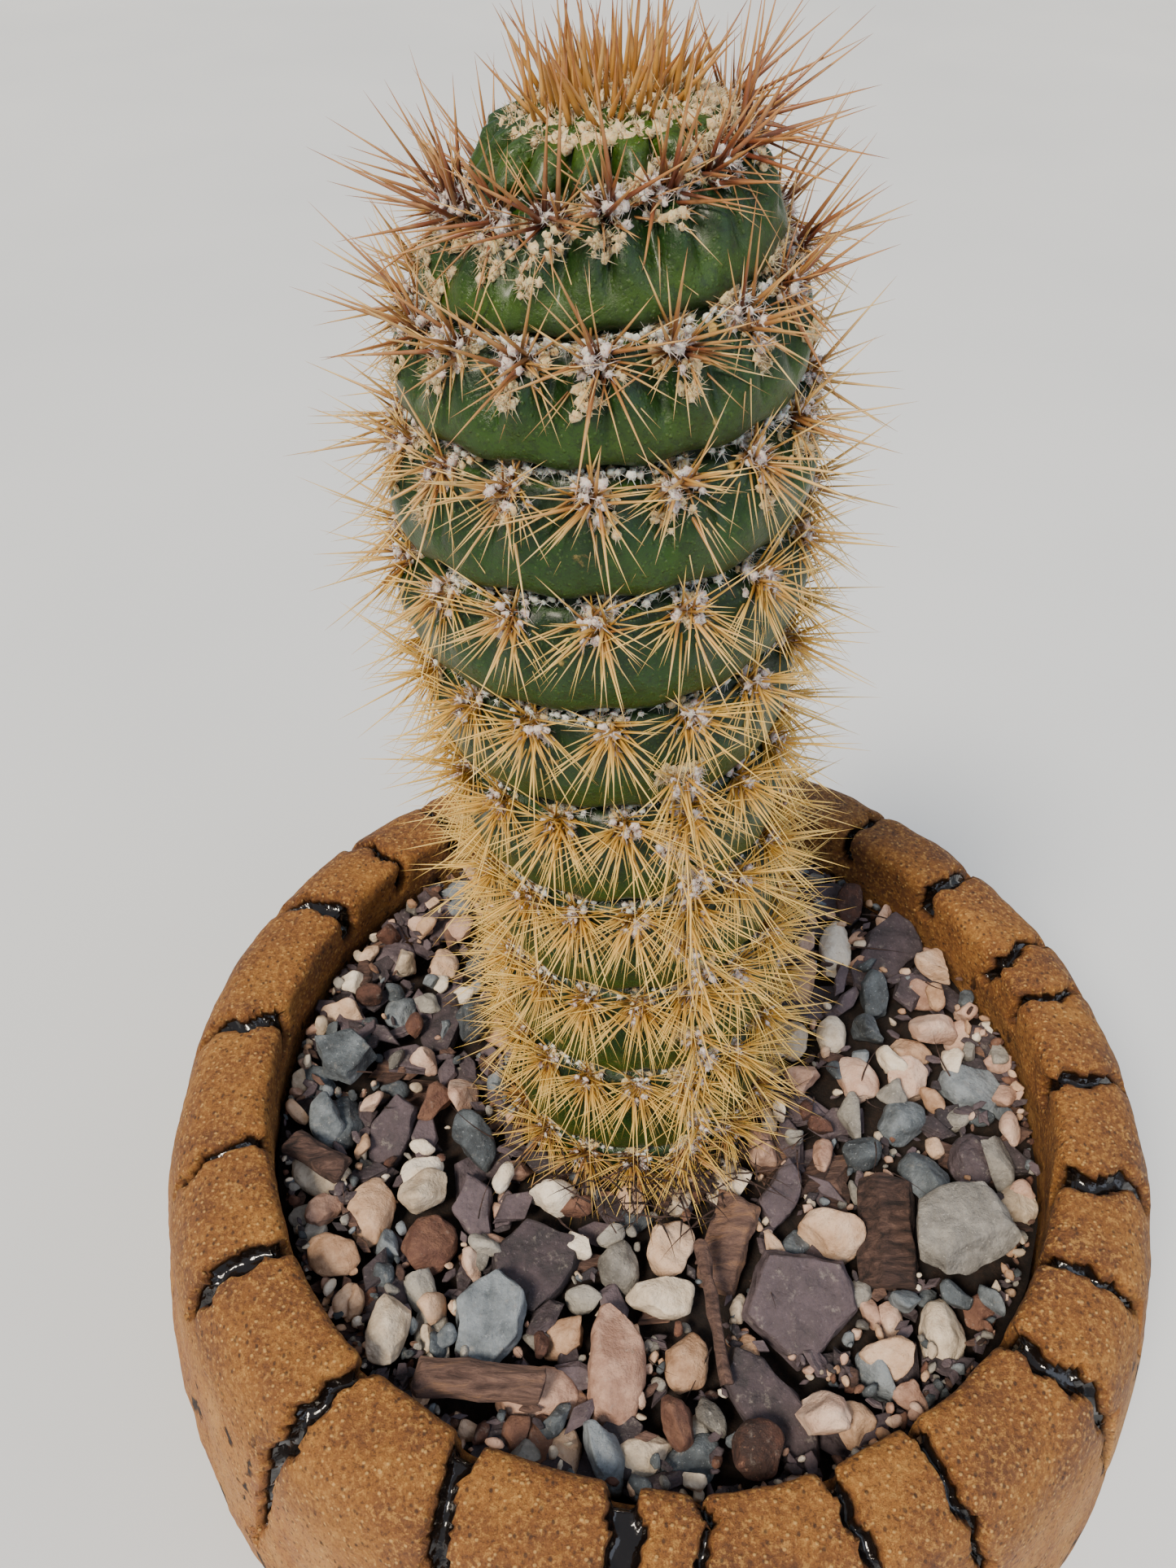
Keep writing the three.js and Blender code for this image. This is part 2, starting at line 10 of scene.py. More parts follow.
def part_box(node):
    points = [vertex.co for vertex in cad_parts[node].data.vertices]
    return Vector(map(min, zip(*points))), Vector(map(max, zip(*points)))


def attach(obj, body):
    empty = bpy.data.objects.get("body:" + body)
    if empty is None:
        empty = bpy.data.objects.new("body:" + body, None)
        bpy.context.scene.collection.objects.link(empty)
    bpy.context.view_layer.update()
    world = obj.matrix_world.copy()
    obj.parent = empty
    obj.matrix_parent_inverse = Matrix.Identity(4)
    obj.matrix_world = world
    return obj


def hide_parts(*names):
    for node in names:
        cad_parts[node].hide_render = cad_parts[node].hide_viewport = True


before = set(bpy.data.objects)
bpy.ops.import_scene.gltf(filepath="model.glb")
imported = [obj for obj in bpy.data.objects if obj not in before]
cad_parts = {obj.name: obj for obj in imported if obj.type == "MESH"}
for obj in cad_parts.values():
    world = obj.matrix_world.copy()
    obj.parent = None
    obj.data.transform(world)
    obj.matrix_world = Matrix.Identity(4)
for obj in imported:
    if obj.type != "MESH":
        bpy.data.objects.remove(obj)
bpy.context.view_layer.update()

MM = 0.001
TAU = math.pi * 2

# ---- sizes shared with the solid model, in millimetres ----
POT_HEIGHT = 108
BELLY_RADIUS = 103
RIM_INNER_RADIUS = 75.5
GRIT_TOP = 89
APEX_Z = 275
STEM_RADIUS = 27.4
STEM_X = -4
STEM_Y = 7
STEM_LEAN = -9.5
FIRST_ROW_DROP = 7
ROW_PITCH = 11.6
PITCH_GROWTH = 0.8
AREOLES_PER_TURN = 16
SPIRAL_WAVE = 0.3
GROOVE_DEPTH = 5

# ---- sizes and counts of the visible model, in millimetres ----
WELD = 0.02
WALL_SPIN_STEPS = 620
FINE_SPACING = 0.95
COARSE_SPACING = 4.0
CRACKED_WALL_Z = 52
CRACKED_LIP_Z = 92
SHOULDER_RADIUS = 84
CRACK_DEPTH = 3.2
CRACK_DROP_INSIDE = 9
CRACK_SPAN_DEGREES = 14
CROWN_KNOBS = 17
SEAM_AREOLE = 200
GOLDEN_ANGLE = 2.39996
BRUSH_SPINES = 125
CREST_TUFTS = 420
GROOVE_TUFTS = 2200
GROOVE_TURNS = 8.3
BED_RADIUS = 75.4
ROOTLETS = 200
ROOTLETS_AT_STEM = 150
CAMERA_LENS = 27.65
CAMERA_PITCH = 43.694
CAMERA_ROLL = 0.805
CAMERA_PLACE = (-14.86, -133.66, 200.82 + POT_HEIGHT)


# ---- small helpers ----
def linear(hex_code):
    """An sRGB hex colour as linear red, green, blue and alpha."""
    channels = [int(hex_code[i : i + 2], 16) / 255 for i in (0, 2, 4)]
    return [c / 12.92 if c <= 0.04045 else ((c + 0.055) / 1.055) ** 2.4 for c in channels] + [1.0]


def smooth(low, high, value):
    t = min(1.0, max(0.0, (value - low) / (high - low)))
    return t * t * (3 - 2 * t)


def hermite(start, end, leaving, arriving, t):
    """The point at t on a smooth curve that leaves the start and reaches the end with these slopes."""
    return (
        start * (2 * t**3 - 3 * t**2 + 1)
        + leaving * (t**3 - 2 * t**2 + t)
        + end * (3 * t**2 - 2 * t**3)
        + arriving * (t**3 - t**2)
    )


def curve_at(chain, x):
    """A smooth curve through [x, value] pairs in rising x."""
    if x <= chain[0][0]:
        return chain[0][1]
    if x >= chain[-1][0]:
        return chain[-1][1]
    i = next(n for n in range(1, len(chain)) if x <= chain[n][0])
    (x0, y0), (x1, y1) = chain[i - 1], chain[i]
    before, after = chain[max(0, i - 2)], chain[min(len(chain) - 1, i + 1)]
    slope0 = (y1 - before[1]) / (x1 - before[0])
    slope1 = (after[1] - y0) / (after[0] - x0)
    span = x1 - x0
    return hermite(y0, y1, slope0 * span, slope1 * span, (x - x0) / span)


def bumps(point, size, seed=0.0):
    """Smooth noise from -1 to 1 with lumps of the given size, for a point in millimetres."""
    return noise.noise(Vector(point) / size + Vector((seed, seed * 1.7, 3.1)))


def finished(bm, name, materials, smooth_faces=True):
    """Turns the bmesh into a shown object that rides on the plant's one body."""
    bmesh.ops.recalc_face_normals(bm, faces=bm.faces)
    mesh = bpy.data.meshes.new(name)
    bm.to_mesh(mesh)
    bm.free()
    for material in materials:
        mesh.materials.append(material)
    mesh.polygons.foreach_set("use_smooth", [smooth_faces] * len(mesh.polygons))
    obj = bpy.data.objects.new(name, mesh)
    bpy.context.scene.collection.objects.link(obj)
    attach(obj, "root")
    return obj


# ---- shader helpers ----
SOFT_STEP = {"interpolation_type": "SMOOTHSTEP"}
COLOURS = {"data_type": "RGBA"}


def fill(tree, socket, value):
    """Links the socket to an output, or sets its own value."""
    if isinstance(value, bpy.types.NodeSocket):
        tree.links.new(value, socket)
    else:
        socket.default_value = value


def add(tree, kind, inputs=(), out=None, stops=(), **settings):
    """Adds a shader node with its settings and links. Its inputs are a dict, or a list in the
    order of its live sockets. Stops are the (position, hex colour) of a ramp. Gives one output."""
    node = tree.nodes.new("ShaderNode" + kind)
    for key, value in settings.items():
        setattr(node, key, value)
    for i, (position, colour) in enumerate(stops):
        if i >= len(node.color_ramp.elements):
            node.color_ramp.elements.new(position)
        node.color_ramp.elements[i].position = position
        node.color_ramp.elements[i].color = linear(colour)
    live = [socket for socket in node.inputs if socket.enabled]
    named = inputs if isinstance(inputs, dict) else {}
    pairs = [(node.inputs[key], value) for key, value in named.items()] or zip(live, inputs)
    for socket, value in pairs:
        fill(tree, socket, value)
    return node.outputs[out] if out else next(socket for socket in node.outputs if socket.enabled)


def per_mm(size):
    """Texture scale for a pattern whose features are about this many millimetres across."""
    return 1000.0 / size


def stain(tree, under, pattern, low, high, most, colour):
    """Lays a colour over another where the pattern runs from low to high, at most this strongly."""
    amount = add(tree, "MapRange", [pattern, low, high, 0.0, most], **SOFT_STEP)
    return add(tree, "Mix", [amount, under, linear(colour)], **COLOURS)


def new_material(name):
    """A new material, its node tree and the place on the object that its patterns follow."""
    material = bpy.data.materials.new(name)
    material.use_nodes = True
    return material, material.node_tree, add(material.node_tree, "TexCoord", out="Object")


def surface(tree, layers, **sockets):
    """Sets up the surface shader. Layers are (height pattern, depth in millimetres)."""
    for height, depth in layers:
        bump = {"Height": height, "Distance": depth * MM, "Strength": 1.0}
        if "Normal" in sockets:
            bump["Normal"] = sockets["Normal"]
        sockets["Normal"] = add(tree, "Bump", bump)
    for key, value in sockets.items():
        fill(tree, tree.nodes["Principled BSDF"].inputs[key.replace("_", " ")], value)


# ---- materials ----
def stoneware_material():
    """Coarse grogged stoneware, fired unglazed; dark glassy glaze has pooled in its cracks."""
    material, tree, place = new_material("grogged_stoneware")
    height = add(tree, "Attribute", out="Fac", attribute_name="height")
    crack = add(tree, "Attribute", out="Fac", attribute_name="crack")
    mottle = add(tree, "TexNoise", [place, per_mm(14), 6, 0.65])
    rim_clay = [(0.3, "64391A"), (0.48, "8C5622"), (0.62, "A46B2C"), (0.78, "BA8542")]
    rim = add(tree, "ValToRGB", [mottle], stops=rim_clay)
    scales = [(1, 1, 0.3), (1.0, 1.2, 0.9), (1.3, 1.1, 1.2), (1, 1, 0.24)]
    drawn_down, for_sand, for_iron, upright = [
        add(tree, "Mapping", {"Vector": place, "Scale": scale}) for scale in scales
    ]
    streaks = add(tree, "TexNoise", [drawn_down, per_mm(11), 6, 0.7])
    wall_clay = [(0.32, "8A5A4A"), (0.46, "B4763C"), (0.6, "C98F50"), (0.75, "D6A266")]
    wall = add(tree, "ValToRGB", [streaks], stops=wall_clay)
    near_rim = add(tree, "MapRange", [height, 0.78, 0.93], **SOFT_STEP)
    clay = add(tree, "Mix", [near_rim, wall, rim], **COLOURS)
    speckle = add(tree, "TexNoise", [place, per_mm(1.1), 5, 0.8])
    clay = stain(tree, clay, speckle, 0.5, 0.62, 0.75, "C9934A")
    clay = stain(tree, clay, speckle, 0.47, 0.36, 0.7, "4A2A11")
    sand = add(tree, "TexVoronoi", [for_sand, per_mm(1.5)])
    clay = stain(tree, clay, sand, 0.26, 0.12, 0.7, "DDAE68")
    iron = add(tree, "TexVoronoi", [for_iron, per_mm(2.1)])
    clay = stain(tree, clay, iron, 0.27, 0.1, 0.75, "38200F")
    fissure = add(tree, "TexVoronoi", [upright, per_mm(16)], feature="DISTANCE_TO_EDGE")
    wander = add(tree, "TexNoise", [place, per_mm(9), 5, 0.6])
    gap = add(tree, "MapRange", [wander, 0.4, 0.62, 0.14, 0.0], **SOFT_STEP)
    fissure = add(tree, "Math", [fissure, gap], operation="ADD")
    fissure = add(tree, "MapRange", [fissure, 0.075, 0.03], **SOFT_STEP)
    on_wall = add(tree, "MapRange", [height, 0.93, 0.84], **SOFT_STEP)
    split = add(tree, "Math", [fissure, on_wall], operation="MULTIPLY")
    clay = add(tree, "Mix", [split, clay, linear("2A160D")], **COLOURS)
    clay = stain(tree, clay, crack, 0.04, 0.3, 0.55, "5A3214")
    glaze = add(tree, "MapRange", [crack, 0.28, 0.6], **SOFT_STEP)
    clay = add(tree, "Mix", [glaze, clay, linear("120D0B")], **COLOURS)
    dry = add(tree, "MapRange", [mottle, 0.3, 0.7, 0.62, 0.86], **SOFT_STEP)
    rough = add(tree, "Mix", [glaze, dry, 0.14])
    bare = add(tree, "Math", [1.0, glaze], operation="SUBTRACT")
    grit = add(tree, "TexNoise", [place, per_mm(0.9), 4, 0.75])
    grains = add(tree, "MapRange", [sand, 0.4, 0.05], **SOFT_STEP)
    layers = []
    for pattern, depth in [(grit, 1.0), (speckle, 0.8), (grains, 0.25)]:
        layers.append((add(tree, "Math", [pattern, bare], operation="MULTIPLY"), depth))
    layers.append((add(tree, "Math", [split, -1.0], operation="MULTIPLY"), 1.6))
    layers.append((add(tree, "TexNoise", [place, per_mm(6), 4, 0.6]), 0.5))
    surface(tree, layers, Base_Color=clay, Roughness=rough)
    return material


def flesh_material():
    """Waxy green skin, bluish where the wax is whole, with small corky scars; the green is darker in and
    beside the grooves between turns, which is painted shade.
    """
    material, tree, place = new_material("waxy_cactus_skin")
    phase = add(tree, "Attribute", out="Fac", attribute_name="phase")
    age = add(tree, "Attribute", out="Fac", attribute_name="age")
    cloud = add(tree, "TexNoise", [place, per_mm(9), 5, 0.6])
    # Painted shade: along each turn the green is darkest round the groove at its foot and the spine row
    # beside it, where the skin lies in shade, and lighter on the bulge.
    young_green_and_groove_shade = [(0.0, "0B2210"), (0.3, "16350A"), (0.62, "344E0A"), (0.9, "142C06")]
    young = add(tree, "ValToRGB", [phase], stops=young_green_and_groove_shade)
    old_green_and_groove_shade = [(0.0, "0D2308"), (0.35, "173507"), (0.7, "203F08"), (0.95, "0C1D05")]
    old = add(tree, "ValToRGB", [phase], stops=old_green_and_groove_shade)
    aged = add(tree, "MapRange", [age, 0.12, 0.4], **SOFT_STEP)
    skin = add(tree, "Mix", [aged, young, old], **COLOURS)
    skin = stain(tree, skin, cloud, 0.4, 0.7, 0.4, "0E1D0A")
    # The skin's pores are finer than 0.1 mm; they are drawn coarse enough to show.
    stomata = add(tree, "TexVoronoi", [place, per_mm(0.7)])
    skin = stain(tree, skin, stomata, 0.34, 0.14, 0.22, "54702A")
    stipple = add(tree, "TexNoise", [place, per_mm(0.9), 4, 0.8])
    skin = stain(tree, skin, stipple, 0.52, 0.36, 0.5, "0B1808")
    scar_place = add(tree, "Mapping", {"Vector": place, "Scale": (1.0, 1.0, 0.7)})
    scar = add(tree, "TexVoronoi", [scar_place, per_mm(5.5)])
    scar = add(tree, "MapRange", [scar, 0.13, 0.07], **SOFT_STEP)
    patches = add(tree, "TexNoise", [place, per_mm(16), 3, 0.6])
    patches = add(tree, "MapRange", [patches, 0.52, 0.6], **SOFT_STEP)
    scarred = add(tree, "Math", [scar, patches], operation="MULTIPLY")
    skin = add(tree, "Mix", [scarred, skin, linear("C9A45A")], **COLOURS)
    cork = add(tree, "TexNoise", [place, per_mm(7), 6, 0.7])
    cork = add(tree, "MapRange", [cork, 0.66, 0.74], **SOFT_STEP)
    low_down = add(tree, "MapRange", [age, 0.25, 0.5, 0.0, 0.8], **SOFT_STEP)
    corky = add(tree, "Math", [cork, low_down], operation="MULTIPLY")
    skin = add(tree, "Mix", [corky, skin, linear("A9884E")], **COLOURS)
    dry = add(tree, "Math", [scarred, corky], operation="MAXIMUM")
    waxy = add(tree, "MapRange", [cloud, 0.3, 0.7, 0.34, 0.5], **SOFT_STEP)
    layers = [
        (add(tree, "TexNoise", [place, per_mm(3.2), 3, 0.6]), 0.3),
        (add(tree, "MapRange", [stomata, 0.4, 0.1], **SOFT_STEP), 0.07),
        (stipple, 0.16),
        (dry, 0.25),
    ]
    surface(
        tree,
        layers,
        Base_Color=skin,
        Roughness=add(tree, "Mix", [dry, waxy, 0.8]),
        Subsurface_Weight=0.06,
        Subsurface_Scale=0.001,
        Specular_IOR_Level=0.3,
        Coat_Weight=0.12,
        Coat_Roughness=0.16,
    )
    return material


def spine_material(name, stages):
    """Hard dry spines; stages give the colours from base to tip for young, middle and old spines."""
    material, tree, place = new_material(name)
    along = add(tree, "Attribute", out="Fac", attribute_name="along")
    age = add(tree, "Attribute", out="Fac", attribute_name="age")
    streak = add(tree, "TexNoise", [place, per_mm(4), 3, 0.6])
    points = (0.0, 0.3, 0.75, 1.0)
    colour, *later = [add(tree, "ValToRGB", [along], stops=list(zip(points, stage))) for stage in stages]
    for shade, (low, high) in zip(later, [(0.0, 0.32), (0.3, 0.6)]):
        aged = add(tree, "MapRange", [age, low, high], **SOFT_STEP)
        colour = add(tree, "Mix", [aged, colour, shade], **COLOURS)
    colour = stain(tree, colour, streak, 0.45, 0.75, 0.25, "EBCB86")
    surface(tree, [], Base_Color=colour, Roughness=0.42, Subsurface_Weight=0.1, Subsurface_Scale=0.001)
    return material


def felt_material(name, colours, size):
    """Matted plant wool: short curled fibres with shadow between them."""
    material, tree, place = new_material(name)
    # Real fibres are a few hundredths of a millimetre thick; they are drawn coarse enough to show.
    fibre = add(tree, "TexNoise", [place, per_mm(size), 6, 0.75])
    colour = add(tree, "ValToRGB", [fibre], stops=list(zip((0.3, 0.5, 0.72), colours)))
    surface(
        tree,
        [(fibre, 0.35)],
        Base_Color=colour,
        Roughness=0.95,
        Sheen_Weight=0.3,
        Subsurface_Weight=0.3,
        Subsurface_Scale=0.002,
    )
    return material


def stone_material(name, dark, middle, light, speck, layered, pits):
    """Weathered stone: clouded colour, mineral specks and a pitted or split surface."""
    material, tree, place = new_material(name)
    tone = add(tree, "Attribute", out="Fac", attribute_name="tone")
    cloud = add(tree, "TexNoise", [place, per_mm(5), 6, 0.68])
    shift = add(tree, "MapRange", [tone, 0.0, 1.0, -0.16, 0.16], **SOFT_STEP)
    shifted = add(tree, "Math", [cloud, shift], operation="ADD")
    colour = add(tree, "ValToRGB", [shifted], stops=[(0.28, dark), (0.5, middle), (0.74, light)])
    fleck = add(tree, "TexNoise", [place, per_mm(0.8), 4, 0.8])
    colour = stain(tree, colour, fleck, 0.58, 0.7, 0.7, speck)
    colour = stain(tree, colour, fleck, 0.4, 0.28, 0.5, dark)
    dust = add(tree, "TexNoise", [place, per_mm(2.2), 5, 0.7])
    colour = stain(tree, colour, dust, 0.56, 0.75, 0.3, "B9AFA2")
    layers = [
        (add(tree, "TexNoise", [place, per_mm(1.1), 5, 0.75]), pits),
        (add(tree, "TexNoise", [place, per_mm(4), 4, 0.6]), 0.9),
    ]
    if layered:
        sheets = add(tree, "Mapping", {"Vector": place, "Scale": (0.12, 0.12, 1.6)})
        layers.append((add(tree, "TexNoise", [sheets, per_mm(1.0), 2, 0.5]), 0.5))
    rough = add(tree, "MapRange", [cloud, 0.3, 0.7, 0.68, 0.92], **SOFT_STEP)
    surface(tree, layers, Base_Color=colour, Roughness=rough)
    return material


def bark_material():
    """Weathered conifer bark: long fibres, dark in the furrows and grey on the ridges."""
    material, tree, place = new_material("weathered_bark")
    tone = add(tree, "Attribute", out="Fac", attribute_name="tone")
    drawn_out = add(tree, "Mapping", {"Vector": place, "Scale": (0.35, 1.6, 1.6)})
    inputs = {"Vector": drawn_out, "Scale": per_mm(2.6), "Detail": 6, "Roughness": 0.75, "Distortion": 0.6}
    fibre = add(tree, "TexNoise", inputs)
    shift = add(tree, "MapRange", [tone, 0.0, 1.0, -0.1, 0.14], **SOFT_STEP)
    shifted = add(tree, "Math", [fibre, shift], operation="ADD")
    bark = [(0.28, "1E1412"), (0.45, "4A352E"), (0.6, "6D5348"), (0.78, "8F6A4E")]
    colour = add(tree, "ValToRGB", [shifted], stops=bark)
    surface(tree, [(fibre, 1.2)], Base_Color=colour, Roughness=0.9)
    return material


def soil_material():
    """Damp dark potting mix with fine fibres and mineral dust."""
    material, tree, place = new_material("damp_potting_mix")
    crumb = add(tree, "TexNoise", [place, per_mm(2.4), 8, 0.75])
    soil = [(0.3, "0E0A08"), (0.5, "241913"), (0.68, "3B2A20"), (0.8, "6A5A4C")]
    colour = add(tree, "ValToRGB", [crumb], stops=soil)
    surface(tree, [(crumb, 1.4)], Base_Color=colour, Roughness=0.95)
    return material


def floor_material():
    """Matt painted studio floor."""
    material, tree, place = new_material("matt_studio_floor")
    haze = add(tree, "TexNoise", [place, per_mm(400), 3, 0.6])
    colour = add(tree, "ValToRGB", [haze], stops=[(0.3, "CDD0D2"), (0.7, "D8DADB")])
    surface(tree, [], Base_Color=colour, Roughness=0.85)
    return material


STONEWARE = stoneware_material()
FLESH = flesh_material()
SPINE = spine_material(
    "dry_horny_spine",
    [
        ("542620", "764228", "AE7C44", "7E4630"),
        ("8E5838", "B98C4A", "DAB876", "B08046"),
        ("B98A3C", "D0A244", "E0BA66", "C49440"),
    ],
)
CREST_SPINE = spine_material(
    "young_golden_spine",
    [
        ("80501C", "9C6A28", "8A562C", "4E2A22"),
        ("94642A", "B48238", "A87440", "643A2A"),
        ("A8783A", "C4944A", "C49C5C", "8A5A38"),
    ],
)
FELT = felt_material("areole_felt", ("B98F80", "EBD2C6", "FFF2EA"), 0.5)
WOOL = felt_material("golden_areole_wool", ("C28F4E", "E8C48E", "F4E0BC"), 0.6)
LACE = felt_material("white_groove_wool", ("D2C4B0", "F4EADA", "FFFAF2"), 0.5)
SOIL = soil_material()
BARK = bark_material()
# Name, dark, middle and light colours, specks, whether it splits in sheets, depth of its pits.
STONE_LOOKS = {
    "slate": ("split_slate", "2B2427", "463B3F", "5E5156", "6C6065", True, 0.3),
    "bluestone": ("blue_grey_stone", "33383C", "565D62", "848B90", "9EA4A8", False, 0.5),
    "pink": ("pink_granite", "94705E", "C29C86", "DDBEA8", "8A6250", False, 0.4),
    "cream": ("cream_limestone", "A8957E", "D8C6AE", "EEE2D0", "B89C80", False, 0.4),
    "tan": ("tan_sandstone", "9A7558", "C49F80", "DABBA0", "8C6548", False, 0.4),
    "grey": ("pitted_grey_stone", "5E5A54", "87827A", "ACA69B", "C2BCB0", False, 0.6),
    "rust": ("rust_red_stone", "33201A", "5E3D31", "7E5A47", "9A7058", False, 0.6),
}
STONES = {kind: stone_material(*look) for kind, look in STONE_LOOKS.items()}
STONES["bark"] = BARK
SLOTS = {"slate": "slate", "bluestone": "bluestone", "bark": "bark"}
LOOSE_PIECES = ("slate", "pebble", "chunk", "bark")
THIN_KINDS = ("slate", "bark")
# How often each kind turns up among the small stones.
SHARES = {"slate": 11, "bluestone": 4, "pink": 3, "cream": 3, "tan": 3, "grey": 2, "rust": 2, "bark": 3}
# Small stones: smallest and largest radius, how many, fineness, and places tried for each.
SMALL_STONES = [(4.2, 6.8, 135, 4, 40), (2.4, 4.0, 330, 3, 40), (0.7, 1.8, 1100, 2, 24)]


# ---- pot ----
# The same wall as the solid: share of the belly radius and of the height, then the cavity.
OUTER_WALL = [
    (0.76, 0), (0.84, 0.03), (0.92, 0.12), (0.975, 0.26), (1, 0.42),
    (0.995, 0.56), (0.965, 0.72), (0.93, 0.87), (0.9, 0.945), (0.865, 0.98),
]
# Cracks over the rim: bearing, width, reach down the wall, turn from straight out.
CRACKS = [
    (-165, 1.6, 8, 8), (-150, 3.5, 12, -4), (-131, 3, 40, -8), (-114, 3, 18, 10), (-96, 4.5, 24, 3),
    (-87, 1.3, 7, 0), (-72, 2.2, 14, 8), (-61, 1.8, 26, 6), (-43, 3.5, 34, 14), (-30, 2, 18, 4),
    (-17, 4, 10, 8), (-2, 3, 9, 12), (12, 2, 8, 8), (20, 2.2, 8, 12), (36, 3.2, 9, 0),
    (52, 1.6, 12, -6), (71, 2.6, 15, 5), (92, 1.6, 9, -4), (110, 3, 18, 6), (127, 2.2, 8, 8),
    (139, 1.6, 9, 8), (153, 3.6, 10, 12), (175, 3.4, 9, 10),
]


def pot_profile():
    """Points (radius, height) round the wall's section, from the foot over the rim to the drain hole."""
    outer = [(share * BELLY_RADIUS, rise * POT_HEIGHT) for share, rise in OUTER_WALL]
    rim = [(84.5, 107.4), (79.5, 108), (77, 107.7), (75.8, 106.6), (75.5, 104.5)]
    inside = [(76, 97), (77.5, 86), (78.5, 74), (79.5, 50), (76.5, 32), (65.5, 18), (50.5, 13)]
    drain = [(7, 13), (7, 0)]
    points = [Vector(point) for point in outer + rim + inside]
    above_cavity = len(outer + rim) + 3
    dense = []
    for i in range(len(points) - 1):
        before, after = points[max(0, i - 1)], points[min(len(points) - 1, i + 2)]
        start, end = points[i], points[i + 1]
        fine = start.y > CRACKED_WALL_Z and i < above_cavity
        steps = max(1, round((end - start).length / (FINE_SPACING if fine else COARSE_SPACING)))
        for n in range(steps):
            point = hermite(start, end, (end - before) / 2, (after - start) / 2, n / steps)
            dense.append((point.x, max(0.0, min(POT_HEIGHT, point.y))))
    return dense + [tuple(points[-1])] + [(30, 13)] + drain


def crack_strength(bearing, radius, z):
    """How deep in a crack a point lies, and how near its rounded lips: 0 on whole clay, 1 at most."""
    deepest, lip = 0.0, 0.0
    for centre, width, drop, turn in CRACKS:
        away = (bearing - centre + 180) % 360 - 180
        if abs(away) > CRACK_SPAN_DEGREES:
            continue
        run = (radius - RIM_INNER_RADIUS) + 0.8 * (POT_HEIGHT - z)
        outward = radius > SHOULDER_RADIUS
        fall = POT_HEIGHT - z
        if fall > (drop * 1.15 if outward else CRACK_DROP_INSIDE):
            continue
        wander = 2.2 * bumps((run, centre, 0), 7) + 0.9 * bumps((run, centre, 9), 2.2)
        slant = math.sin(math.radians(turn)) * (run - 8) * 0.8
        across = abs(math.radians(away) * radius - slant - wander)
        end = smooth(drop * 1.15, drop * 0.5, fall) if outward else 1.0
        half = width * (0.5 + 0.3 * bumps((run, centre, 4), 4)) * (0.2 + 0.8 * end)
        half += 0.35 * bumps((run, centre, math.copysign(20, away)), 1.6)
        deepest = max(deepest, smooth(half + 0.35, half - 0.5, across))
        lip = max(lip, smooth(half + 2.4, half, across) * (0.4 + 0.6 * end))
    return deepest, lip


def make_pot():
    bm = bmesh.new()
    verts = [bm.verts.new((r * MM, 0, z * MM)) for r, z in pot_profile()]
    edges = [bm.edges.new((verts[i], verts[(i + 1) % len(verts)])) for i in range(len(verts))]
    bmesh.ops.spin(
        bm, geom=verts + edges, cent=(0, 0, 0), axis=(0, 0, 1), angle=TAU, steps=WALL_SPIN_STEPS,
        use_merge=True,
    )
    bmesh.ops.remove_doubles(bm, verts=bm.verts, dist=0.00001)
    bmesh.ops.recalc_face_normals(bm, faces=bm.faces)
    bm.normal_update()
    crack_layer = bm.verts.layers.float.new("crack")
    height_layer = bm.verts.layers.float.new("height")
    moves = []
    for vert in bm.verts:
        x, y, z = vert.co / MM
        radius = math.hypot(x, y)
        bearing = math.degrees(math.atan2(y, x))
        lump = 0.9 * bumps((x, y, z), 22) + 0.4 * bumps((x, y, z), 7, 5) + 0.16 * bumps((x, y, z), 2, 9)
        shift = lump if z > 1 and radius > 60 else 0.0
        crack, lip = (0.0, 0.0)
        if z > CRACKED_WALL_Z and (radius > SHOULDER_RADIUS or z > CRACKED_LIP_Z):
            crack, lip = crack_strength(bearing, radius, z)
        shift -= CRACK_DEPTH * crack + 0.45 * lip * lip
        if z < 4:
            shift *= smooth(0, 4, z)
        vert[crack_layer] = crack
        vert[height_layer] = z / POT_HEIGHT
        moves.append(vert.normal * (min(0.4, shift) * MM))
    for vert, move in zip(bm.verts, moves):
        vert.co += move
    pot = finished(bm, "stoneware_pot", [STONEWARE])
    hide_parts("pot")


# ---- stem ----
# Growing point down to the root: share of the widest radius, depth below the apex.
STEM_OUTLINE = [
    (0, 0), (0.2, 0.5), (0.38, 2), (0.47, 4.6), (0.6, 8.6), (0.74, 15), (0.85, 22.5), (0.92, 30.5),
    (1, 46), (1, 62), (0.94, 80), (0.91, 106), (0.91, 140), (0.93, 178), (0.9, 190), (0.72, 205),
    (0.4, 211), (0, 213),
]
# One turn from a spine row down to the next.
ROLL = [(-0.07, 0.0), (0, 0.46), (0.12, 0.76), (0.4, 1), (0.66, 0.98), (0.82, 0.74), (0.93, 0), (1, 0.46)]


def outline_points():
    """The stem's outline as evenly spaced (radius, z) points from the growing point to the root."""
    dense = []
    chain = [Vector((share * STEM_RADIUS, APEX_Z - depth)) for share, depth in STEM_OUTLINE]
    for i in range(len(chain) - 1):
        before, after = chain[max(0, i - 1)], chain[min(len(chain) - 1, i + 2)]
        start, end = chain[i], chain[i + 1]
        for n in range(40):
            dense.append(hermite(start, end, (end - before) / 2, (after - start) / 2, n / 40))
    dense.append(chain[-1])
    lengths = [0.0]
    for a, b in zip(dense, dense[1:]):
        lengths.append(lengths[-1] + (b - a).length)
    return dense, lengths


OUTLINE, OUTLINE_LENGTHS = outline_points()


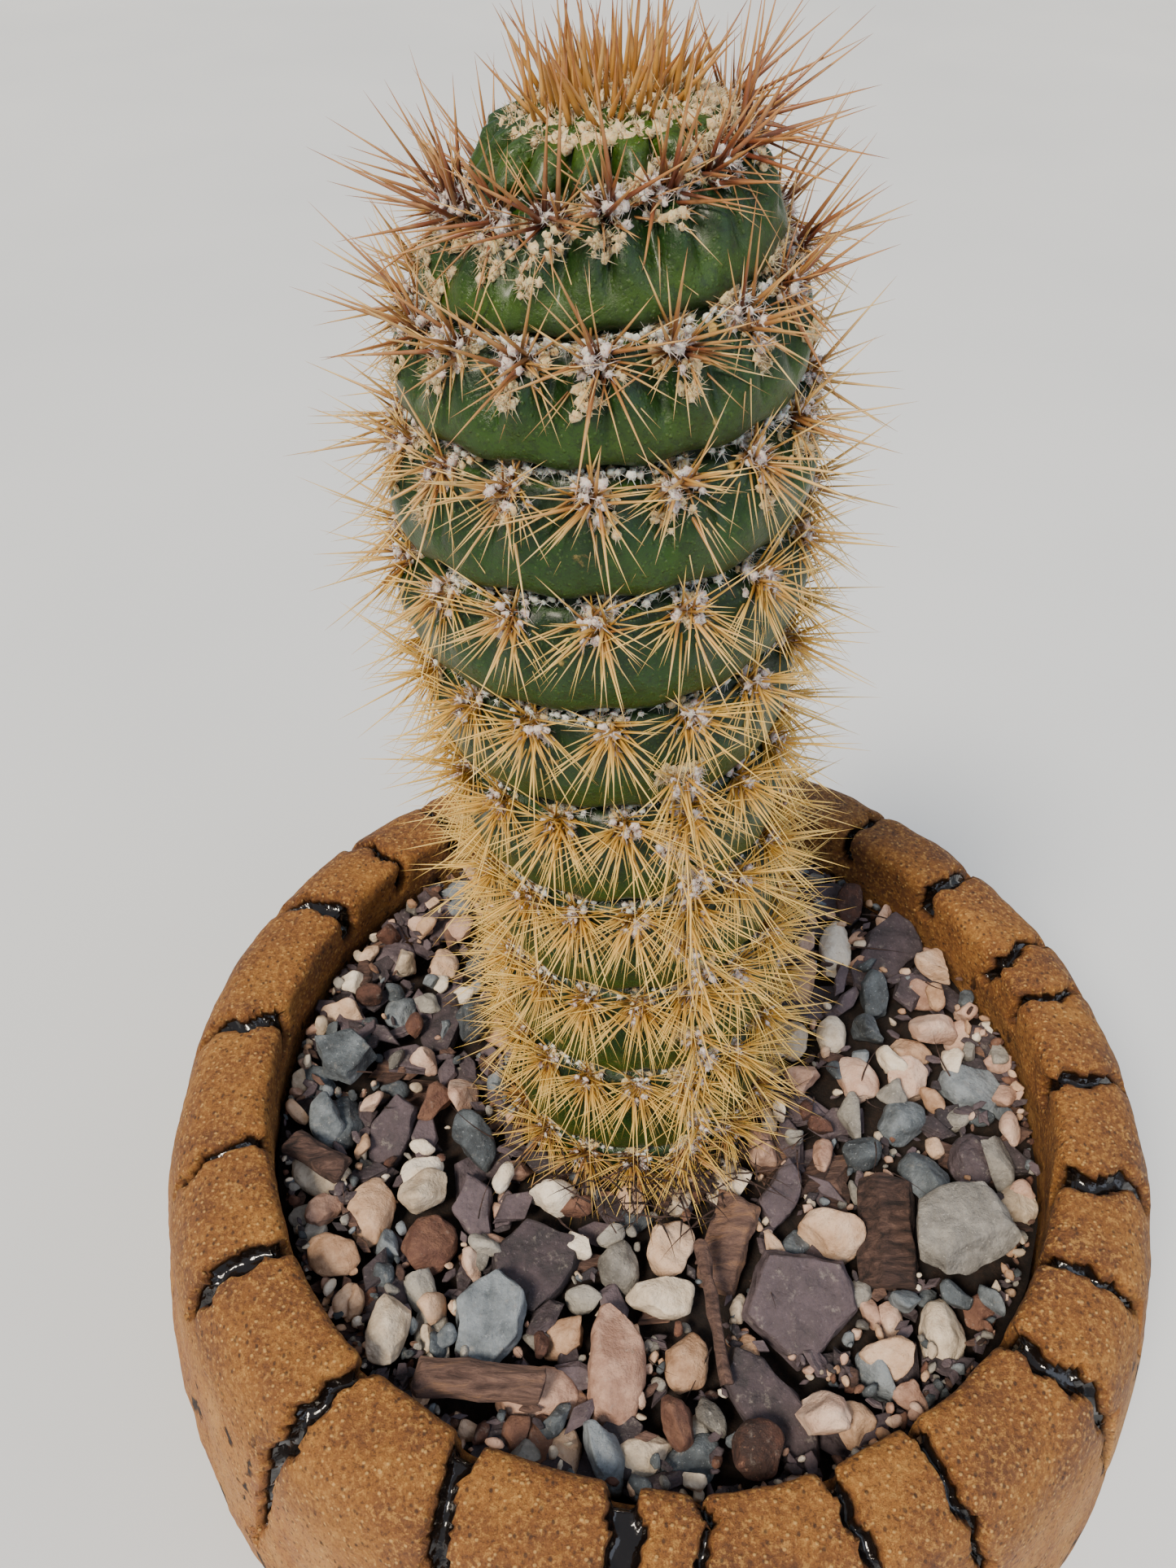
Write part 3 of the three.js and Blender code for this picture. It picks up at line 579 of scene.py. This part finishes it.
def outline_at(share):
    """The outline's point at a share of its whole length."""
    target = share * OUTLINE_LENGTHS[-1]
    high = min(bisect.bisect_right(OUTLINE_LENGTHS, target), len(OUTLINE_LENGTHS) - 1)
    low = high - 1
    span = OUTLINE_LENGTHS[high] - OUTLINE_LENGTHS[low]
    t = (target - OUTLINE_LENGTHS[low]) / span if span else 0.0
    return OUTLINE[low].lerp(OUTLINE[high], t)


RADIUS_AT = [(APEX_Z - depth, share * STEM_RADIUS) for share, depth in reversed(STEM_OUTLINE)]


def outline_radius(z):
    return max(0.0, curve_at(RADIUS_AT, z))


def stem_centre(z):
    rise = min(1.0, max(0.0, (z - GRIT_TOP) / (APEX_Z - GRIT_TOP)))
    return STEM_X + STEM_LEAN * smooth(0.15, 0.75, rise), STEM_Y


def row_height(turn):
    return APEX_Z - FIRST_ROW_DROP - ROW_PITCH * turn - PITCH_GROWTH * turn * turn


def turn_at(z):
    fall = APEX_Z - FIRST_ROW_DROP - z
    root = math.sqrt(max(0.0, ROW_PITCH**2 + 4 * PITCH_GROWTH * fall))
    return (root - ROW_PITCH) / (2 * PITCH_GROWTH)


def climb(bearing):
    return (bearing - SPIRAL_WAVE * math.sin(bearing)) / TAU


def areole_phase(bearing, row):
    """Whole numbers fall on areoles; halves fall midway between two."""
    return (row - bearing / TAU) * AREOLES_PER_TURN


def flesh_cut(bearing, z):
    """How far the skin lies inside the outline, and where the point lies within its turn."""
    turn = turn_at(z) + climb(bearing)
    row = math.floor(turn)
    phase = turn - row
    youth = smooth(APEX_Z - 30, APEX_Z - 8, z)
    buried = smooth(GRIT_TOP - 12, GRIT_TOP + 2, z)
    scallop = math.cos(TAU * areole_phase(bearing, row))
    depth = GROOVE_DEPTH * (1 - 0.72 * youth) * buried
    edge = phase + 0.02 * scallop * smooth(0.5, 0.8, phase)
    cut = depth * (1 - curve_at(ROLL, edge))
    below = smooth(0.0, 0.1, phase) * smooth(0.62, 0.2, phase)
    strength = 0.5 + 0.5 * smooth(200, 262, z)
    cut -= strength * buried * below * scallop
    fold = abs(math.sin(TAU * 0.75 * areole_phase(bearing, row))) ** 0.6
    young = (0.35 + 0.65 * smooth(222, 258, z)) * smooth(0.03, 0.14, phase) * smooth(0.7, 0.3, phase)
    cut -= 3.0 * young * buried * (fold - 0.6)
    crown = smooth(APEX_Z - 7.6, APEX_Z - 6.2, z) * smooth(APEX_Z - 1.8, APEX_Z - 2.8, z)
    knob = abs(math.sin(bearing * CROWN_KNOBS / 2)) ** 0.55
    cut -= crown * (3.5 * knob - 2.1)
    crease = math.exp(-(((z - APEX_Z + 7.4) / 0.9) ** 2))
    return cut + 0.9 * crease, phase, turn


def crown_tilt(x, z):
    """The growing end leans: its right side stands a little higher than its left."""
    return 0.13 * (x - stem_centre(APEX_Z)[0]) * smooth(248, 266, z)


def skin_point(bearing, radius, z, lift=0.0):
    cx, cy = stem_centre(z)
    cut, _, _ = flesh_cut(bearing, z)
    reach = max(0.4, radius - cut * min(1.0, radius / 10)) + lift if radius > 0 else 0.0
    x = cx + reach * math.sin(bearing)
    return Vector((x, cy - reach * math.cos(bearing), z + crown_tilt(x, z)))


def make_flesh():
    bm = bmesh.new()
    bmesh.ops.create_uvsphere(bm, u_segments=256, v_segments=340, radius=1)
    phase_layer = bm.verts.layers.float.new("phase")
    age_layer = bm.verts.layers.float.new("age")
    for vert in bm.verts:
        share = math.acos(max(-1.0, min(1.0, vert.co.z))) / math.pi
        bearing = math.atan2(vert.co.x, -vert.co.y) % TAU
        pole = math.hypot(vert.co.x, vert.co.y) < 1e-5
        radius, z = outline_at(share)
        point = skin_point(bearing, 0.0 if pole else radius, z)
        _, phase, turn = flesh_cut(bearing, z)
        sway = 0.35 * bumps(point, 9) + 0.12 * bumps(point, 3, 4)
        cx, cy = stem_centre(z)
        out = Vector((point.x - cx, point.y - cy, 0))
        if out.length > 0.5:
            point += out.normalized() * sway
        vert.co = point * MM
        vert[phase_layer] = phase
        vert[age_layer] = max(0.0, min(1.0, turn / 9))
    flesh = finished(bm, "cactus_flesh", [FLESH])
    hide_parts("stem")


# ---- spines and wool ----
def spine_template(sides, rings, bend):
    """A tapering, slightly bent spine of unit length along +Z, with its share of length stored."""
    bm = bmesh.new()
    along = bm.verts.layers.float.new("along")
    bm.verts.layers.float.new("age")
    bmesh.ops.create_cone(
        bm, cap_ends=True, segments=sides, radius1=1, radius2=0.03, depth=1,
        matrix=Matrix.Translation((0, 0, 0.5)),
    )
    for i in range(1, rings):
        whole = list(bm.verts) + list(bm.edges) + list(bm.faces)
        bmesh.ops.bisect_plane(bm, geom=whole, plane_co=(0, 0, i / rings), plane_no=(0, 0, 1))
    for vert in bm.verts:
        t = vert.co.z
        vert[along] = t
        fuller = 1 + 0.9 * t * (1 - t)
        vert.co.x = vert.co.x * fuller + bend * t * t
        vert.co.y *= fuller
    mesh = bpy.data.meshes.new("template")
    bm.to_mesh(mesh)
    bm.free()
    return mesh


def tuft_template():
    """A small ball of matted wool, one unit in radius."""
    bm = bmesh.new()
    bm.verts.layers.float.new("age")
    bmesh.ops.create_cube(bm, size=2)
    bmesh.ops.subdivide_edges(bm, edges=bm.edges, cuts=1, use_grid_fill=True)
    for vert in bm.verts:
        vert.co = vert.co.normalized() * (1 + 0.8 * noise.noise(vert.co * 1.6))
    mesh = bpy.data.meshes.new("template")
    bm.to_mesh(mesh)
    bm.free()
    return mesh


class Bristles:
    """Collects many copies of a small template into one mesh."""

    def __init__(self, name, template, material, slot="cactus_flesh"):
        self.name, self.template, self.material, self.slot = name, template, material, slot
        self.points = [vert.co.copy() for vert in template.vertices]
        self.bm = bmesh.new()

    def put(self, base, direction, length, radius, age, twist):
        """One copy from base, in millimetres, along direction."""
        turn = direction.to_track_quat("Z", "Y").to_matrix() @ Matrix.Rotation(twist, 3, "Z")
        coords = []
        for p in self.points:
            coords.extend((base + turn @ Vector((p.x * radius, p.y * radius, p.z * length))) * MM)
        self.template.vertices.foreach_set("co", coords)
        self.template.attributes["age"].data.foreach_set("value", [age] * len(self.points))
        self.bm.from_mesh(self.template)

    def finish(self):
        obj = finished(self.bm, self.name, [self.material])
        return obj


def heading(bearing, rise):
    """The direction at a bearing from the front, turned up by rise; both in radians."""
    flat = math.cos(rise)
    return Vector((math.sin(bearing) * flat, -math.cos(bearing) * flat, math.sin(rise)))


def away_from(axis, tilt, spin):
    """A direction leaning away from the axis by tilt, turned round it by spin; both in radians."""
    side = axis.cross(Vector((0, 0, 1)))
    side = side.normalized() if side.length > 0.01 else Vector((1, 0, 0))
    up = side.cross(axis).normalized()
    flat = side * math.cos(spin) + up * math.sin(spin)
    return (axis * math.cos(tilt) + flat * math.sin(tilt)).normalized()


def areoles():
    """Every areole from the crown down: number, bearing, turn, place and outward direction."""
    spots = []
    for k in range(-7, 150):
        bearing = -(k / AREOLES_PER_TURN) * TAU + 0.05 * math.sin(k * 12.9)
        spots.append((k, bearing, -climb(bearing), 0.0))
    for i in range(14):
        # A line of crowded areoles runs down the lower front, where two spirals meet.
        spots.append((SEAM_AREOLE + i, 0.36 + 0.06 * math.sin(i * 2.3), 4.35 + i * 0.36, 1.5))
    for k, bearing, turn, drop in spots:
        z = row_height(turn) - 0.6 - drop
        if z < GRIT_TOP + 4 or z > APEX_Z - 4:
            continue
        rise = math.radians(36 - 9 * turn) if turn < 4 else math.radians(-2)
        place = skin_point(bearing, outline_radius(z), z, 0.1)
        yield k, bearing % TAU, turn, place, heading(bearing, rise)


def make_spines():
    rng = random.Random(41)
    stout, fine = spine_template(5, 3, 0.6), spine_template(4, 2, 0.8)
    central = {n: Bristles("central_spines_%d" % n, stout.copy(), SPINE) for n in (1, 2)}
    radial = {n: Bristles("radial_spines_%d" % n, fine.copy(), SPINE) for n in (1, 2, 3, 4)}
    for k, _, turn, place, out in areoles():
        age = min(1.0, max(0.0, turn / 7))
        young, old = smooth(3.5, 0.5, turn), smooth(3, 6, turn)
        strong_count = 7 if turn < 4 else 9
        count = round(17 + 9.5 * min(6, max(0, turn)))
        if k >= SEAM_AREOLE:
            count, strong_count = count // 4, 3
        for i in range(count + strong_count):
            strong = i < strong_count
            spin = (i / count) * TAU * 5.3 + rng.uniform(-0.5, 0.5)
            tilt = math.radians(rng.uniform(5, 55) if strong else rng.uniform(34, 84))
            direction = away_from(out, tilt, spin)
            if strong:
                pull = rng.uniform(-0.85, 0.1) + 0.9 * young * rng.random()
                direction = (direction + Vector((0, 0, pull))).normalized()
                length = rng.uniform(10, 15) * (1.0 + 0.1 * young + 0.14 * old)
                radius = rng.uniform(0.2, 0.27) + 0.1 * young * rng.random()
            else:
                droop = rng.uniform(-0.95 + 0.15 * old, 0.1 + 0.25 * old) * smooth(0.2, 1.2, turn)
                direction = (direction + Vector((0, 0, droop))).normalized()
                length = rng.uniform(6.5, 13) - 1.5 * young + 1.2 * old
                radius = rng.uniform(0.14, 0.21)
            base = place + direction * 0.3
            base += Vector((rng.uniform(-1, 1), rng.uniform(-1, 1), rng.uniform(-0.9, 0.7)))
            shade = age + (rng.uniform(-0.12, 0.06) if strong else rng.uniform(-0.08, 0.22))
            if place.z < GRIT_TOP + 18 and rng.random() < 0.35:
                shade = 0.15
            shade = min(1.0, max(0.0, shade))
            group = central[1 + (k % 2)] if strong else radial[1 + k % 4]
            group.put(base, direction, length, radius, shade, rng.uniform(0, TAU))
    for group in (*central.values(), *radial.values()):
        group.finish()


def crown_spot(ring, bearing, sink):
    """A point on the woolly disc round the growing point."""
    cx, cy = stem_centre(APEX_Z)
    x = cx + ring * math.sin(bearing)
    z = APEX_Z - 0.018 * ring * ring - sink
    return Vector((x, cy - ring * math.cos(bearing), z + crown_tilt(x, z)))


class Fleece:
    """Matted wool in one material: lumps with short curled strands standing out of them."""

    def __init__(self, name, material, rng):
        self.rng = rng
        self.lumps = Bristles(name + "_mat", tuft_template(), material)
        self.strands = Bristles(name, spine_template(3, 1, 1.2), material)

    def put(self, spot, out, size, strands, thickness=0.09):
        rng = self.rng
        direction = away_from(out, rng.uniform(0, 0.6), rng.uniform(0, TAU))
        self.lumps.put(spot, direction, size * rng.uniform(0.5, 0.9), size, 0, rng.uniform(0, TAU))
        for _ in range(strands):
            direction = away_from(out, rng.uniform(0.3, 1.6), rng.uniform(0, TAU))
            start = spot + direction * size * 0.5
            length = rng.uniform(0.8, 2.0)
            self.strands.put(start, direction, length, thickness, 0, rng.uniform(0, TAU))

    def finish(self):
        self.lumps.finish()
        self.strands.finish()


def make_crest():
    """The brush of upright spines on the growing point and the wool it stands in."""
    rng = random.Random(7)
    crest = Bristles("crest_spines", spine_template(6, 4, 0.6), CREST_SPINE)
    fleece = Fleece("crest_wool", WOOL, rng)
    for i in range(BRUSH_SPINES):
        ring = 9.0 * math.sqrt((i + 0.5) / BRUSH_SPINES)
        bearing = i * GOLDEN_ANGLE
        lean = math.radians(3.2 * ring + rng.uniform(-22, 22))
        direction = heading(bearing + rng.uniform(-0.8, 0.8), math.pi / 2 - lean)
        crest.put(
            crown_spot(ring, bearing, 0.6), direction, rng.uniform(5.0, 11.0), rng.uniform(0.26, 0.4),
            rng.uniform(0.0, 0.55), rng.uniform(0, TAU),
        )
    for i in range(CREST_TUFTS):
        ring = 11.2 * math.sqrt((i + 0.5) / CREST_TUFTS)
        bearing = i * GOLDEN_ANGLE
        lean = math.radians(6 * ring + rng.uniform(-20, 20))
        out = heading(bearing, math.pi / 2 - lean)
        fleece.put(crown_spot(ring, bearing, 0.3), out, rng.uniform(0.5, 1.0), 5, 0.11)
    crest.finish()
    fleece.finish()


def skin_spot(bearing, z, lift):
    return skin_point(bearing % TAU, outline_radius(z), z, lift)


def wool_drift(fleece, rng, bearing, top, reach, width, lumps):
    """A ragged patch of wool hanging from an areole, wide at the top and narrowing below."""
    lean = rng.gauss(0, 0.06)
    for _ in range(lumps):
        share = rng.random() ** 1.6
        z = top - reach * share
        spread = width * (1 - 0.7 * share) * rng.uniform(-1, 1)
        b = bearing + lean * share + spread / max(8, outline_radius(z))
        size = rng.uniform(0.32, 0.72)
        fleece.put(skin_spot(b, z, 0.15), heading(b, 0.2), size, 4)


def make_wool():
    """White felt on the areoles, golden wool hanging below them, and lacy wool in the grooves."""
    rng = random.Random(19)
    felt = Fleece("areole_felt", FELT, rng)
    golden = [Fleece("areole_wool_%d" % n, WOOL, rng) for n in (1, 2)]
    for k, bearing, turn, place, out in areoles():
        seam = k >= SEAM_AREOLE
        young = turn < 2.6
        for _ in range(20):
            shift = Vector((rng.uniform(-1, 1), rng.uniform(-1, 1), rng.uniform(-1.0, 0.8))) * 2.1
            felt.put(place + shift + out * 0.5, out, rng.uniform(0.4, 0.75), 5)
        reach = rng.uniform(3.5, 8.0) if young else rng.uniform(2.0, 4.0)
        width = rng.uniform(2.8, 4.2) if young else rng.uniform(2.2, 3.2)
        lumps = 42 if young or seam else 16
        if turn > -0.2:
            wool_drift(golden[k % 2], rng, bearing, place.z + 1.6, reach, width, lumps)
    lace = Fleece("groove_wool", LACE, rng)
    for i in range(GROOVE_TUFTS):
        spiral = 0.85 + GROOVE_TURNS * (i + rng.random()) / GROOVE_TUFTS
        bearing = -spiral * TAU
        z = row_height(-climb(bearing)) + rng.uniform(0.7, 1.7)
        thick = smooth(-0.35, 0.3, bumps((spiral * 30, 0, 0), 3)) * (1.0 if spiral < 5 else 0.6)
        if z < GRIT_TOP + 4 or rng.random() > 0.3 + 0.7 * thick:
            continue
        spot = skin_spot(bearing, z, rng.uniform(0.4, 2.8))
        lace.put(spot, heading(bearing, -0.3), rng.uniform(0.3, 0.62), 4, 0.07)
    for part in [felt, lace] + golden:
        part.finish()


# ---- stones ----
def welded(node):
    """A solid's own mesh as a new bmesh, with its loose triangles joined."""
    bm = bmesh.new()
    bm.from_mesh(node.data)
    bm.transform(node.matrix_world)
    bmesh.ops.remove_doubles(bm, verts=bm.verts, dist=WELD * MM)
    return bm


def refined(node, levels):
    """The node's mesh, welded and smoothly subdivided."""
    bm = welded(node)
    copy = bpy.data.meshes.new("copy")
    bm.to_mesh(copy)
    bm.free()
    holder = bpy.data.objects.new("copy", copy)
    bpy.context.scene.collection.objects.link(holder)
    holder.modifiers.new("smooth", "SUBSURF").levels = levels
    bpy.context.view_layer.update()
    evaluated = holder.evaluated_get(bpy.context.evaluated_depsgraph_get())
    out = bmesh.new()
    out.from_mesh(evaluated.to_mesh())
    bpy.data.objects.remove(holder)
    return out


def split_plate(node):
    """The node's mesh with its broken edges rounded and its faces cut fine."""
    bm = welded(node)
    sharp = [e for e in bm.edges if e.is_manifold and e.calc_face_angle(0) > 0.25]
    bmesh.ops.bevel(
        bm, geom=sharp, offset=0.0005, segments=2, profile=0.5, affect="EDGES", material=-1,
        clamp_overlap=True,
    )
    bmesh.ops.triangulate(bm, faces=bm.faces)
    for _ in range(3):
        long_edges = [e for e in bm.edges if e.calc_length() > 0.0011]
        bmesh.ops.subdivide_edges(bm, edges=long_edges, cuts=1)
        bmesh.ops.triangulate(bm, faces=bm.faces)
    return bm


def knock_chips(bm, rng, count):
    """Flattens a stone's skin against a few planes, as broken faces."""
    points = [vert.co for vert in bm.verts]
    centre = sum(points, Vector()) / len(points)
    for _ in range(count):
        normal = Vector([rng.gauss(0, 1) for _ in range(3)]).normalized()
        reach = max((p - centre).dot(normal) for p in points)
        level = reach * rng.uniform(0.74, 0.9)
        for vert in bm.verts:
            over = (vert.co - centre).dot(normal) - level
            if over > 0:
                vert.co -= normal * over * 0.92


def dress_stones():
    """Each loose piece of the solid model, refined and roughened, in place of its plain shape."""
    for index, (name, node) in enumerate(sorted(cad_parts.items())):
        kind, _, rest = name.partition("_")
        if kind not in LOOSE_PIECES:
            continue
        colour = rest.split("_")[0]
        flat = kind in THIN_KINDS
        bm = split_plate(node) if flat else refined(node, 3)
        if not flat:
            knock_chips(bm, random.Random(index), 9 if kind == "chunk" else 5)
        bm.normal_update()
        tone = bm.verts.layers.float.new("tone")
        value = (index * 0.618) % 1
        moves = []
        for vert in bm.verts:
            p = vert.co / MM
            rough = 0.35 * bumps(p, 3.5, index) + 0.15 * bumps(p, 1.2, index)
            if kind == "chunk":
                rough += 0.6 * abs(bumps(p, 6, index + 3)) - 0.2
            move = vert.normal * rough
            if flat:
                rim = Vector((vert.normal.x, vert.normal.y, 0))
                move += rim * (0.9 * bumps((p.x, p.y, 0), 4, index) - 0.2)
            moves.append(move * MM)
        for vert, move in zip(bm.verts, moves):
            vert.co += move
            vert[tone] = value
        stone = finished(bm, name + "_surface", [STONES[colour]], not flat)
        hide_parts(name)
        SLOTS.get(colour, colour + "_stone")


def stone_body(bm, rng, centre, size, facets, subdivisions):
    """One small stone: a ball worn to size, with a few flat chips knocked off."""
    turn = Quaternion([rng.gauss(0, 1) for _ in range(4)]).normalized().to_matrix()
    made = bmesh.ops.create_icosphere(bm, subdivisions=subdivisions, radius=1)
    chips = []
    for _ in range(facets):
        chips.append((Vector([rng.gauss(0, 1) for _ in range(3)]).normalized(), rng.uniform(0.5, 0.84)))
    seed = rng.uniform(0, 90)
    for vert in made["verts"]:
        p = vert.co.copy()
        for normal, level in chips:
            p -= normal * max(0.0, p.dot(normal) - level)
        p *= 1 + 0.2 * bumps(p, 0.9, seed) + 0.07 * bumps(p, 0.35, seed)
        p = turn @ Vector((p.x * size[0], p.y * size[1], p.z * size[2]))
        vert.co = (p + centre) * MM
    return made["verts"]


class HeightField:
    """Heights of the bed's top on a 1 mm grid, so that small stones find the hollows."""

    def __init__(self):
        self.heights = {}
        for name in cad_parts:
            if name.split("_")[0] in LOOSE_PIECES:
                low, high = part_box(name)
                # A box is wider than its stone, so the small stones may come a little inside it.
                inset = (high - low) * 0.08
                inset.z = 0
                self.raise_to((low + inset) / MM, (high - inset) / MM)

    def raise_to(self, low, high):
        centre, half = (low + high) / 2, (high - low) / 2
        for x in range(math.floor(low.x), math.ceil(high.x) + 1):
            for y in range(math.floor(low.y), math.ceil(high.y) + 1):
                u, v = (x - centre.x) / half.x, (y - centre.y) / half.y
                if u * u + v * v < 1:
                    top = centre.z + half.z * math.sqrt(1 - u * u - v * v)
                    self.heights[x, y] = max(self.heights.get((x, y), 0), top)

    def at(self, x, y, reach):
        steps = [-reach, 0, reach]
        found = [self.heights.get((round(x + a), round(y + b)), GRIT_TOP) for a in steps for b in steps]
        return sum(found) / 9, max(found)


def chip_body(bm, rng, centre, size):
    """One thin broken chip: a prism with uneven corners."""
    turn = Matrix.Rotation(rng.uniform(0, TAU), 3, "Z") @ Matrix.Rotation(rng.gauss(0, 0.3), 3, "X")
    made = bmesh.ops.create_cone(
        bm, cap_ends=True, segments=rng.choice((4, 5, 6)), radius1=1, radius2=rng.uniform(0.75, 1), depth=2
    )
    for vert in made["verts"]:
        p = vert.co * rng.uniform(0.8, 1.15)
        vert.co = (turn @ Vector((p.x * size[0], p.y * size[1], p.z * size[2])) + centre) * MM
    return made["verts"]


def free_spot(rng, field, size, tries):
    """The lowest of a few chance places on the bed, clear of the stem, with the height there."""
    best = None
    for _ in range(tries):
        bearing, radius = rng.uniform(0, TAU), math.sqrt(rng.random()) * (BED_RADIUS - size)
        x, y = radius * math.cos(bearing), radius * math.sin(bearing)
        if math.hypot(x - STEM_X, y - STEM_Y) < 25.5 + size:
            continue
        mean, top = field.at(x, y, size * 0.8)
        edge = smooth(56, 66, radius) * (3.0 if x < 0 else 2.2)
        level = mean + (0.5 * top if size > 2 else 0.0) - edge
        if best is None or level < best[0]:
            best = (level, x, y, mean)
    return best[1:]


def fill_bed():
    """Smaller stones, bark chips and crumbs that lie between the large pieces."""
    rng = random.Random(5)
    field = HeightField()
    beds = {kind: bmesh.new() for kind in SHARES}
    tones = {kind: beds[kind].verts.layers.float.new("tone") for kind in SHARES}
    sizes = []
    for smallest, largest, count, fineness, tries in SMALL_STONES:
        sizes += [(rng.uniform(smallest, largest), fineness, tries) for _ in range(count)]
    for size, subdivisions, tries in sizes:
        x, y, mean = free_spot(rng, field, size, tries)
        kind = rng.choices(list(SHARES), list(SHARES.values()))[0]
        thin = kind in THIN_KINDS
        shape = [size, size * rng.uniform(0.55, 0.85), size * rng.uniform(0.45, 0.7)]
        if thin:
            shape = [size * 1.3, size * rng.uniform(0.4, 0.85), max(0.3, size * rng.uniform(0.12, 0.2))]
        centre = Vector((x, y, mean + shape[2] * 0.8))
        if thin:
            verts = chip_body(beds[kind], rng, centre, shape)
        else:
            verts = stone_body(beds[kind], rng, centre, shape, 8, subdivisions)
        value = rng.random()
        for vert in verts:
            vert[tones[kind]] = value
        extent = Vector((size, size, shape[2]))
        field.raise_to(centre - extent, centre + extent)
    for kind, bm in beds.items():
        thin = kind in THIN_KINDS
        if thin:
            bmesh.ops.bevel(
                bm, geom=list(bm.edges), offset=0.00018, segments=1, profile=0.5, affect="EDGES",
                material=-1, clamp_overlap=True,
            )
        stones = finished(bm, "small_" + kind, [STONES[kind]], not thin)
        SLOTS.get(kind, kind + "_stone")


def make_litter():
    """Dry rootlets round the foot of the stem and among the stones."""
    rng = random.Random(23)
    roots = Bristles("dry_rootlets", spine_template(4, 5, 14), BARK, "bark")
    for i in range(ROOTLETS):
        near = i < ROOTLETS_AT_STEM
        bearing = rng.gauss(0.25, 0.45) if near else rng.uniform(0, TAU)
        radius = rng.uniform(24, 37) if near else rng.uniform(34, 68)
        spot = Vector((STEM_X + radius * math.sin(bearing), STEM_Y - radius * math.cos(bearing), 0))
        if math.hypot(spot.x, spot.y) > 70:
            continue
        spot.z = GRIT_TOP + rng.uniform(6, 11)
        direction = heading(rng.uniform(0, TAU), rng.uniform(-0.1, 0.6))
        roots.put(spot, direction, rng.uniform(4, 12), rng.uniform(0.1, 0.26), 0, rng.uniform(0, TAU))
    roots.finish()


def dress_bed():
    """The fine layer under the stones, refined and crumbled."""
    bm = welded(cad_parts["gravel_bed"])
    for _ in range(3):
        long_edges = [e for e in bm.edges if e.calc_length() > 0.0018]
        bmesh.ops.subdivide_edges(bm, edges=long_edges, cuts=1)
        bmesh.ops.triangulate(bm, faces=bm.faces)
    for vert in bm.verts:
        p = vert.co / MM
        if p.z > GRIT_TOP - 6 and math.hypot(p.x, p.y) < 74:
            vert.co.z += (0.9 * bumps(p, 5) + 0.6 * bumps(p, 2)) * MM
    bed = finished(bm, "fine_grit", [SOIL])
    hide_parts("gravel_bed")
    mix_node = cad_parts["potting_mix"]
    mix_node.data.materials.clear()
    mix_node.data.materials.append(SOIL)


# ---- studio ----
def make_studio():
    scene = bpy.context.scene
    bm = bmesh.new()
    bmesh.ops.create_grid(bm, x_segments=1, y_segments=1, size=6)
    mesh = bpy.data.meshes.new("floor")
    bm.to_mesh(mesh)
    bm.free()
    mesh.materials.append(floor_material())
    floor = bpy.data.objects.new("floor", mesh)
    floor.location.z = -0.0005
    scene.collection.objects.link(floor)
    world = bpy.data.worlds.new("studio")
    world.use_nodes = True
    background = world.node_tree.nodes["Background"]
    background.inputs["Color"].default_value = linear("D3DFEE")
    background.inputs["Strength"].default_value = 0.66
    scene.world = world
    lamps = [
        ("key", "SUN", (-0.45, -0.6, 1.1), math.radians(16), 5.2, "FFF2DE"),
        ("fill", "AREA", (0.7, -0.5, 0.8), 0.9, 5, "DDE9FF"),
    ]
    for name, kind, place, size, power, colour in lamps:
        data = bpy.data.lights.new(name, kind)
        data.energy, data.color = power, linear(colour)[:3]
        if kind == "SUN":
            data.angle = size
        else:
            data.size = size
        lamp = bpy.data.objects.new(name, data)
        lamp.location = place
        lamp.rotation_euler = (Vector((0, 0, 0.15)) - Vector(place)).to_track_quat("-Z", "Y").to_euler()
        scene.collection.objects.link(lamp)


def make_camera():
    """A hand-held view from the front, looking down into the pot."""
    data = bpy.data.cameras.new("camera")
    data.lens = CAMERA_LENS
    data.sensor_width = 36
    data.clip_start = 0.01
    camera = bpy.data.objects.new("camera", data)
    pitch, roll = math.radians(CAMERA_PITCH), math.radians(CAMERA_ROLL)
    ahead = Vector((0, math.cos(pitch), -math.sin(pitch)))
    right = Vector((1, 0, 0))
    up = right.cross(ahead)
    side = right * math.cos(roll) + up * math.sin(roll)
    top = up * math.cos(roll) - right * math.sin(roll)
    turn = Matrix((side, top, -ahead)).transposed().to_4x4()
    camera.matrix_world = Matrix.Translation(Vector(CAMERA_PLACE) * MM) @ turn
    bpy.context.scene.collection.objects.link(camera)
    bpy.context.scene.camera = camera


make_pot()
make_flesh()
make_spines()
make_crest()
make_wool()
dress_stones()
dress_bed()
fill_bed()
make_litter()
make_studio()
make_camera()
